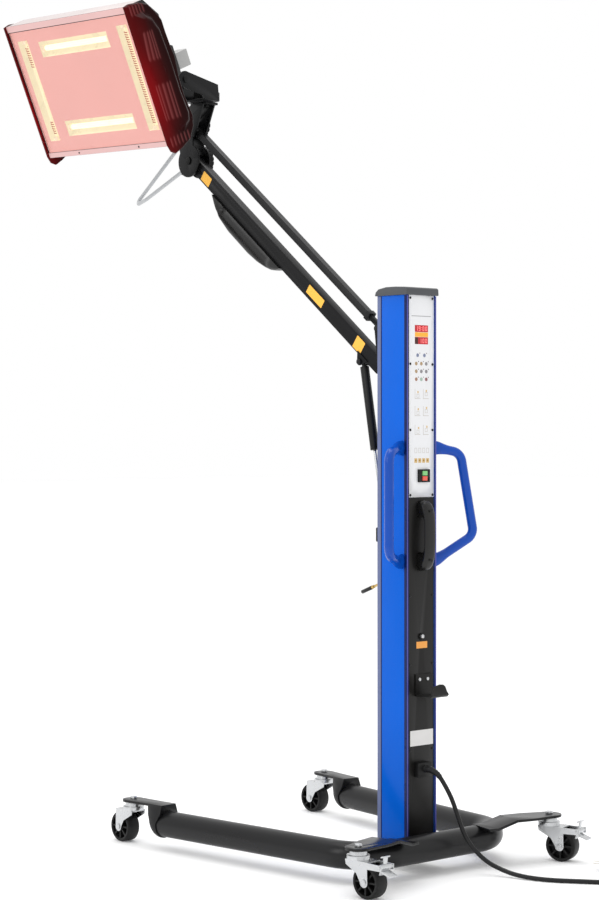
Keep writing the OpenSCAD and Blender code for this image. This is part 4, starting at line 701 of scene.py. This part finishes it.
# Rear rail, arm tube and upper link: black coated steel, on blackened pins.
arm_coat = finish("arm_coat", (0.006, 0.006, 0.0065), 0.32, grain=1100, bump=0.2, patch=6, specular=0.14)
for node in ("rear_rail", "arm_tube", "upper_link"):
    eased(node, arm_coat, 0.001)
for node in ("rear_pins", "spring_bolt"):
    eased(node, black_screw, 0.0005)

# Arm grip: moulded black grip along the arm's lower side, round below, with a finger recess by the arm.
ARM_PIVOT, ARM_ANGLE = np.array([0.0, 71.0, 1166.7]), math.radians(37.55)
ARM_HALF_W, ARM_HALF_D = 12.0, 18.5
ARM_ALONG = np.array([0, math.cos(ARM_ANGLE), math.sin(ARM_ANGLE)])
ARM_OVER = np.array([0, -math.sin(ARM_ANGLE), math.cos(ARM_ANGLE)])
ARM_GRIP_W, ARM_GRIP_S, RECESS_S, RECESS_T, HOLE_S = 17.8, (457.5, 796.5), (508, 756), (4, 28), 742
ARM_GRIP_DEPTH = ((457, 0.6), (462, 8), (474, 18), (490, 27), (512, 34), (546, 41), (590, 45), (690, 44.5),
                  (742, 37), (765, 27), (780, 17), (790, 8), (797, 0.6))


def smooth_window(values, low, high, low_fade, high_fade):
    """1 between low and high and 0 beyond, with a logistic step at each."""
    return 1 / (1 + np.exp(-(values - low) / low_fade)) / (1 + np.exp((values - high) / high_fade))


def arm_grip_shape(rows=90, sides=48):
    """Half superellipses below the arm, x = W cos^0.55 a and t = -D(s) sin^0.55 a, narrowed by a recess of
    smooth steps that stops short of both ends and is deepest in a bell-shaped hollow at the upper end."""
    s = ARM_GRIP_S[0] + (ARM_GRIP_S[1] - ARM_GRIP_S[0]) * (1 - np.cos(np.linspace(0, np.pi, rows))) / 2
    deep = np.interp(s, *np.array(ARM_GRIP_DEPTH).T)
    turn = np.linspace(0, np.pi, sides)
    x = ARM_GRIP_W * signed_power(np.cos(turn), 0.55)
    t = deep[:, None] * (np.abs(np.sin(turn)) ** 0.55)[None]
    along_share = smooth_window(s, *RECESS_S, 4, 4)
    across_share = smooth_window(t, *RECESS_T, 1.2, 1.6)
    hollow = np.exp(-((s - HOLE_S) / 13) ** 2)[:, None] * np.exp(-((t - 10) / 8) ** 2)
    x = x[None] * (1 - 0.34 * along_share[:, None] * across_share - 0.3 * hollow)
    points = (ARM_PIVOT + s[:, None, None] * ARM_ALONG - (ARM_HALF_D + t)[..., None] * ARM_OVER
              + x[..., None] * np.array([1.0, 0, 0]))
    return placed(points.reshape(-1, 3)), ring_faces(rows, sides)


stands_for(new_piece("arm_grip_moulding", arm_grip_shape(), grip_black, "arm"), "arm_grip")

# Bare yellow labels on the arm's two sides, one near each end and a longer one between.
LABELS = (((826, 866), (-15, 10)), ((271, 341), (-9.5, 13)), ((88, 122), (-16, 16)))


def on_arm(shape, side):
    """(along the arm, up across it, out of its side) as frame points, on the arm's side at -X or +X."""
    points, faces = shape
    out = np.array([side, 0, 0]) * (ARM_HALF_W + points[:, 2:])
    where = ARM_PIVOT + points[:, :1] * ARM_ALONG + points[:, 1:2] * ARM_OVER + out
    return placed(where), flipped(faces, side < 0)


label_yellow = finish("label_yellow", (0.95, 0.5, 0.07), 0.45, grain=60, bump=0.03, specular=0.3)
arm_labels = [on_arm(slab(u, v, 0, 0.15, 1.5), side) for u, v in LABELS for side in (-1, 1)]
new_piece("arm_labels", joined(arm_labels), label_yellow, "arm", smooth=False)

# Gas spring: black coated cylinder and bright rod, and the lock lever with its brass neck.
eased("gas_cylinder", black_moulding, 0.0006)
eased("gas_rod", zinc, 0.0)
brass = finish("lever_brass", (0.62, 0.42, 0.14), 0.3, metal=1.0, grain=300, bump=0.05)
LEVER_START, LEVER_TIP, LEVER_COLLAR = np.array([68.0, 668.0]), np.array([154.0, 636.0]), 55.0


def lever_finish(middles):
    """Brass from the lever's hub to its collar, black beyond, by the distance along the lever."""
    s = ((middles[:, 1:] - COLUMN[1:]) / MM - LEVER_START) @ unit(LEVER_TIP - LEVER_START)
    return (s > 8) & (s < LEVER_COLLAR - 0.2)


eased("lock_lever", [grip_black, brass], 0.0005, choose=lever_finish)

# Neck: two coated plates with a top plate, a wire pull handle, fluted clamp knobs, and the tilt fork.
neck_coat = finish("neck_coat", (0.005, 0.005, 0.0055), 0.32, grain=1100, bump=0.2, patch=6, specular=0.2)
eased("neck_bracket", neck_coat, 0.0012, 3)
handle_grey = finish("handle_grey", (0.42, 0.43, 0.44), 0.35, metal=0.2, grain=200, bump=0.05)
ARM_LENGTH, WIRE_R = 930, 5.0
HEAD_PIVOT = ARM_PIVOT + ARM_LENGTH * ARM_ALONG
WIRE_ROUTE = np.array([(10, 44.2, 71.8), (10, 278, -97), (-11, 195, -85), (-11, 37.1, -24)])
wire = placed(rounded_path(HEAD_PIVOT + WIRE_ROUTE, 9, 10))
pull_handle = new_piece("pull_handle_wire", swept(wire, WIRE_R * MM, 24, (1, 0, 0)), handle_grey, "neck")
stands_for(pull_handle, "pull_handle")
knob_black = finish("knob_black", (0.004, 0.004, 0.004), 0.45, grain=1500, bump=0.2, specular=0.16)
eased("clamp_knobs", knob_black, 0.0015, 3)
for node in ("tilt_fork", "head_bracket"):
    eased(node, neck_coat, 0.001)

# Lamp head's casing: folded sheet, black behind and plain aluminium on its long sides, with rims above and
# below the glass on which the lamps' pink light is painted as a glow.
HEAD_YAW, HEAD_TILT, HEAD_ROLL = (math.radians(a) for a in (3.2, 25.1, -1.7))
SWIVEL_Y, FACE_REACH, FACE_Z = HEAD_PIVOT[1] - 51.3, 403.0, HEAD_PIVOT[2] + 149.5
HEAD_HALF_W, HEAD_HALF_H, RIM_H, RIM_LOW_H, RIM_T = 232.0, 176.0, 16.0, 13.0, 2.2


def turn_matrix(axis, angle):
    """Rotation by an angle about one of the three axes, 0 for X, 1 for Y and 2 for Z."""
    a, b = [k for k in range(3) if k != axis]
    matrix = np.eye(3)
    matrix[a, a] = matrix[b, b] = math.cos(angle)
    matrix[a, b], matrix[b, a] = -math.sin(angle), math.sin(angle)
    return matrix if axis != 1 else matrix.T


HEAD_TURN = (turn_matrix(2, HEAD_YAW) @ turn_matrix(1, -HEAD_TILT) @ turn_matrix(2, -math.pi / 2)
             @ turn_matrix(0, math.pi / 2) @ turn_matrix(2, HEAD_ROLL))
HEAD_PLACE = turn_matrix(2, HEAD_YAW) @ np.array([-FACE_REACH, 0, FACE_Z]) + np.array([0, SWIVEL_Y, 0])


def on_head(shape):
    """(along the head, up its face, out of its face) in millimetres as frame points."""
    points, faces = shape
    return placed(np.asarray(points) @ HEAD_TURN.T + HEAD_PLACE), faces


def in_head(middles):
    """Frame points as (along the head, up its face, out of its face) in millimetres."""
    return ((middles - COLUMN) / MM - HEAD_PLACE) @ HEAD_TURN


def casing_finish(middles):
    """Aluminium with the lamps' pink light painted on it as a glow on the rims round the glass, plain
    aluminium on the two long sides, black elsewhere.
    """
    spot = in_head(middles)
    rim = (spot[:, 2] > -RIM_T) & (np.abs(spot[:, 1]) > 150)
    return np.where(rim, 1, np.where(np.abs(spot[:, 1]) > HEAD_HALF_H - 1.5, 2, 0))


casing_black = finish("casing_black", (0.012, 0.011, 0.011), 0.34, grain=1100, specular=0.35)
# Painted light: the rims' pink glow stands in for the lamps' light falling on them.
rim_aluminium_painted_light = finish("rim_aluminium_painted_light", (0.5, 0.34, 0.33), 0.35, metal=0.2, grain=20, bump=0.03,
                       shade=0.05, glow=(0.2, 0.1, 0.095))
side_aluminium = finish("side_aluminium", (0.5, 0.44, 0.43), 0.4, metal=0.2, grain=20, bump=0.03,
                        shade=0.05)
eased("head_casing", [casing_black, rim_aluminium_painted_light, side_aluminium], 0.0004, choose=casing_finish)
rim_heights = ((HEAD_HALF_H - RIM_H, HEAD_HALF_H - 0.5), (-HEAD_HALF_H + 0.5, -HEAD_HALF_H + RIM_LOW_H))
rim_strips = [slab((-HEAD_HALF_W + 1, HEAD_HALF_W - 1), v, 0.02, 0.5, 0.5) for v in rim_heights]
new_piece("rim_strips", on_head(joined(rim_strips)), rim_aluminium_painted_light, "head", smooth=False)
rim_dots = [slab((u - 2.4, u + 2.4), (-171.8, -167), 0.4, 1.0, 2.3, 8) for u in (-109, 124)]
new_piece("rim_fasteners", on_head(joined(rim_dots)), black_screw, "head")

# Side covers: moulded plastic, black, with the lamps' red light near the face and a faint light in the
# grooves painted on as a glow. Each is a rim with a raised middle, two groups of long grooves, a plain round
# badge seat and slots at its two ends.
COVER_BACK = ((-199, -12), (-194, -37), (-183, -69), (-157, -92), (-131, -101), (-76, -94), (-32, -95),
              (20, -102), (50, -99), (84, -97), (114, -97), (139, -85), (163, -68), (174, -42), (179, -12))
COVER_FRONT = ((-199, -12), (-190, 0), (-172, 5), (176, 5), (179, -12))
BULGE = np.array([[150, -12], [152, -40], [134, -64], [100, -77], [20, -82], [-60, -82], [-118, -88],
                  [-142, -80], [-158, -54], [-150, -32], [-118, -22], [-20, -20], [60, -12], [120, -4]])
COVER_RIM_T, COVER_RISE, COVER_MIDDLE, COVER_REACH, ROW_SPREAD = 10.0, 17.8, -10.0, 188.4, 0.985
RIM_ROUND, BULGE_ROUND, GROOVE_DEPTH, BADGE_DEPTH = 7.0, 22.0, 2.4, 1.1
RIDGE_RISE, RIDGE_W, RIDGE_V = 1.6, -66, (-118, 108)
SIDE_GROOVES = (((-17, -24, -31, -38), 34, 104), ((-12, -20, -28, -36, -44), -116, -27))
END_SLOTS = (((-8, -18, -28, -38, -48), 149, 174), ((-6, -18, -30, -42, -54, -66), -180, -158))
BADGE = (3.0, -26.0, 17.0)


def edge_distance(v, w, corners):
    """Distance of each (v, w) from a closed outline: the least over its edges, clipped to their ends."""
    a, b = corners, np.roll(corners, -1, axis=0)
    spot = np.stack([v, w], -1)[..., None, :]
    t = np.clip(((spot - a) * (b - a)).sum(-1) / ((b - a) ** 2).sum(-1), 0, 1)
    return np.linalg.norm(spot - a - t[..., None] * (b - a), axis=-1).min(-1)


def inside(v, w, corners):
    """True where a line from (v, w) crosses the closed outline an odd number of times."""
    a, b = corners, np.roll(corners, -1, axis=0)
    v, w = v[..., None], w[..., None]
    level = (a[:, 1] > w) != (b[:, 1] > w)
    step = np.where(b[:, 1] == a[:, 1], 1.0, b[:, 1] - a[:, 1])
    return (level & (v < a[:, 0] + (w - a[:, 1]) / step * (b[:, 0] - a[:, 0]))).sum(-1) % 2 == 1


def grooves(v, w, groups, width, fade=1.25):
    """1 in the middle of each groove along v at its depth, falling as a bell curve across it, by a logistic
    step at its ends. The grooves of all groups, (depths, first v, last v), are added."""
    return sum(np.exp(-((w - at) / width) ** 2) * smooth_window(v, low, high, fade, fade)
               for depths, low, high in groups for at in depths)


def cover_shape(side, rows=230, columns=112):
    """Height over the head's end for each (v, w) of the outline: a rim rounded like a quarter circle, plus a
    middle that rises by a smooth step of the distance inside its own outline, less the grooves. The shares
    say how much painted red light the cover shows there, a bell curve from the face back, and how deep the
    groove is; both drive the painted glow of the cover's material."""
    spread = np.pi / 2 * ROW_SPREAD
    v = COVER_MIDDLE + COVER_REACH * np.sin(np.linspace(-1, 1, rows) * spread) / math.sin(spread)
    back = np.interp(v, *np.array(COVER_BACK).T)
    front = np.interp(v, *np.array(COVER_FRONT).T)
    t = np.linspace(0, 1, columns)
    v = np.repeat(v[:, None], columns, 1)
    w = front[:, None] + (back - front)[:, None] * t
    outer = np.array(COVER_BACK[::-1] + COVER_FRONT[1:-1])
    near = np.minimum(edge_distance(v, w, outer) / RIM_ROUND, 1)
    height = 1 + (COVER_RIM_T - 1) * np.sqrt(np.clip(1 - (1 - near) ** 2, 0, 1))
    depth_in = np.where(inside(v, w, BULGE), edge_distance(v, w, BULGE), 0)
    x = np.clip(depth_in / BULGE_ROUND, 0, 1)
    height += COVER_RISE * np.sqrt(x * (2 - x)) * (x * x * (3 - 2 * x)) ** 0.4
    cut = grooves(v, w, SIDE_GROOVES, 1.9) + grooves(v, w, END_SLOTS, 2.2)
    height -= GROOVE_DEPTH * cut
    away = np.hypot(v - BADGE[0], w - BADGE[1])
    height -= BADGE_DEPTH * np.exp(-((away - BADGE[2]) / 1.4) ** 2)
    height += RIDGE_RISE * np.exp(-((w - RIDGE_W) / 9) ** 2) * smooth_window(v, *RIDGE_V, 8, 8)
    u = side * (HEAD_HALF_W + np.maximum(height, 0.6))
    top = np.stack([u, v, w], -1).reshape(-1, 3)
    index = np.arange(rows * columns).reshape(rows, columns)
    loop = np.concatenate([index[0, :-1], index[:-1, -1], index[-1, :0:-1], index[:0:-1, 0]])
    base = top[loop]
    base[:, 0] = side * (HEAD_HALF_W + 0.05)
    n, start = len(loop), rows * columns
    faces = flipped(grid_faces(rows, columns, around=False), True)
    faces += [[int(loop[i]), int(loop[(i + 1) % n]), start + (i + 1) % n, start + i] for i in range(n)]
    faces.append(list(range(start, start + n)))
    # Painted red light: a glow strongest at the face and near the middle of the head's height.
    glow = np.exp(-((w - 4) / 30) ** 2) * (0.35 + 0.65 * np.exp(-((v + 40) / 95) ** 2))
    shares = [np.append(share, share.reshape(-1)[loop]) for share in (glow, np.minimum(cut, 1))]
    return np.concatenate([top, base]), flipped(faces, side < 0), shares


cover_plastic = finish("cover_plastic", (0.008, 0.002, 0.002), 0.3, grain=1200, bump=0.1, specular=0.05)
cover_nodes, cover_link = cover_plastic.node_tree.nodes, cover_plastic.node_tree.links.new
BLACK = (0, 0, 0)
# Painted light: the cover emits the lamps' red light by the face and a faint reddish light in its grooves.
red_glow_paint = tone_mix(cover_nodes, (0.006, 0, 0), (0.2, 0, 0.002))
# Painted light: a faint reddish glow in the grooves, by their depth.
groove_glow_paint = tone_mix(cover_nodes, BLACK, (0.12, 0.035, 0.035))
cover_glow_paint = tone_mix(cover_nodes, BLACK, BLACK, "ADD")
for attribute, tone, socket in (("red_light", red_glow_paint, "A"), ("groove", groove_glow_paint, "B")):
    share = cover_nodes.new("ShaderNodeAttribute")
    share.attribute_name = attribute
    cover_link(share.outputs["Fac"], tone.inputs["Factor"])
    cover_link(tone.outputs["Result"], cover_glow_paint.inputs[socket])
cover_shader = cover_nodes["Principled BSDF"]
set_sockets(cover_glow_paint, Factor=1.0)
set_sockets(cover_shader, Emission_Strength=1.0)
cover_link(cover_glow_paint.outputs["Result"], cover_shader.inputs["Emission Color"])
for name, side in (("near_side_cover", 1), ("far_side_cover", -1)):
    points, faces, shares = cover_shape(side)
    cover = new_piece(name, on_head((points, faces)), cover_plastic, "head")
    for attribute, share in zip(("red_light", "groove"), shares):
        cover.data.attributes.new(attribute, "FLOAT", "POINT").data.foreach_set("value", share)
    if side > 0:
        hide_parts("side_covers")

# Behind the glass: a panel and four reflectors, with the lamps' light painted on them as a glow, pink on the
# panel and pale yellow on the reflectors.
panel_painted_pink_light = finish("panel_painted_pink_light", (0.12, 0.07, 0.07), 0.4, patch=5, shade=0.05, bump=0,
                    glow=(0.76, 0.375, 0.33))
eased("reflector_panel", panel_painted_pink_light, 0.0)
# Painted light: the reflectors' pale yellow glow stands in for the lamps' light on them.
reflector_glow_paint = finish("reflector_painted_light", (0.16, 0.15, 0.1), 0.3, patch=24, bump=0, glow=(0.74, 0.68, 0.46))
eased("reflectors", reflector_glow_paint, 0.0)

# Lamps: quartz tubes with white ceramic holders. The two lying ones are at full glow. In the two
# upright ones the wound filament shows, along its whole length in the right one as the camera sees it.
UPRIGHT_R, LYING_R, UPRIGHT_U, LYING_V, LAMP_HALF, LAMP_DEPTH = 5.0, 7.0, 193.6, 104.6, 123.5, -18.0
FILAMENT_R, FILAMENT_WIRE_R, FILAMENT_PITCH, FILAMENT_FORWARD = 3.6, 1.15, 6.0, 3.4
FILAMENT_RUNS = ((UPRIGHT_U, -116, 116), (-UPRIGHT_U, 62, 116), (-UPRIGHT_U, -116, -84))
white_glow = finish("lamp_white_glow", (0.5, 0.48, 0.36), 0.3, patch=18, shade=0.06, bump=0,
                    glow=(1.0, 0.96, 0.7))
quartz = finish("quartz_lit", (0.3, 0.28, 0.19), 0.15, patch=30, shade=0.08, bump=0,
                glow=(0.8, 0.72, 0.46))
filament_glow = finish("filament_glow", (0.12, 0.03, 0.01), 0.4, patch=40, shade=0.2, bump=0,
                       glow=(0.3, 0.035, 0.004))


def lamp(axis, place, radius):
    """Round tube with rounded ends between two holders, along the head's length or height."""
    end = [(LAMP_HALF - 4, radius), (LAMP_HALF - 1.5, radius * 0.9), (LAMP_HALF, radius * 0.4)]
    profile = [(-s, r) for s, r in end[::-1]] + end
    return turned(profile, (*place, LAMP_DEPTH), axis, 28)


def filament(u, low, high):
    """Helix along the head's height, a round wire on r (cos a, sin a), set forward in its lit tube so that
    the wire's front half shows."""
    turns = (high - low) / FILAMENT_PITCH
    a = np.arange(int(turns * 10) + 1) / 10 * 2 * np.pi
    line = np.stack([u + FILAMENT_R * np.cos(a), low + FILAMENT_PITCH * a / (2 * np.pi),
                     LAMP_DEPTH + FILAMENT_FORWARD + FILAMENT_R * np.sin(a)], -1)
    return swept(line, FILAMENT_WIRE_R, 6, (0, 1, 0.2))


lying_tubes = joined([lamp((1, 0, 0), (0, v), LYING_R) for v in (-LYING_V, LYING_V)])
upright_tubes = joined([lamp((0, 1, 0), (u, 0), UPRIGHT_R) for u in (-UPRIGHT_U, UPRIGHT_U)])
lying = new_piece("lying_lamps", on_head(lying_tubes), white_glow, "head")
upright = new_piece("upright_lamps", on_head(upright_tubes), quartz, "head")
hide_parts("lamp_tubes")
new_piece("filaments", on_head(joined([filament(*run) for run in FILAMENT_RUNS])), filament_glow, "head")
# Painted light: the holders glow with the lamps' light on them.
ceramic = finish("ceramic", (0.75, 0.7, 0.55), 0.5, bump=0.1, glow=(0.3, 0.26, 0.16))
eased("lamp_holders", ceramic, 0.0006)

# Front glass: one clear sheet with a faint pink tint.
pink_glass = finish("pink_glass", (1.0, 0.93, 0.92), 0.02, bump=0, uneven=0.0, shade=0.0,
                    Transmission_Weight=1.0, IOR=1.3)
eased("front_glass", pink_glass, 0.0)

# Junction box: light grey moulded box on the casing's back boss.
grey_box = finish("grey_box", (0.36, 0.36, 0.355), 0.45, bump=0.12)
eased("rear_box", grey_box, 0.0015, 3)
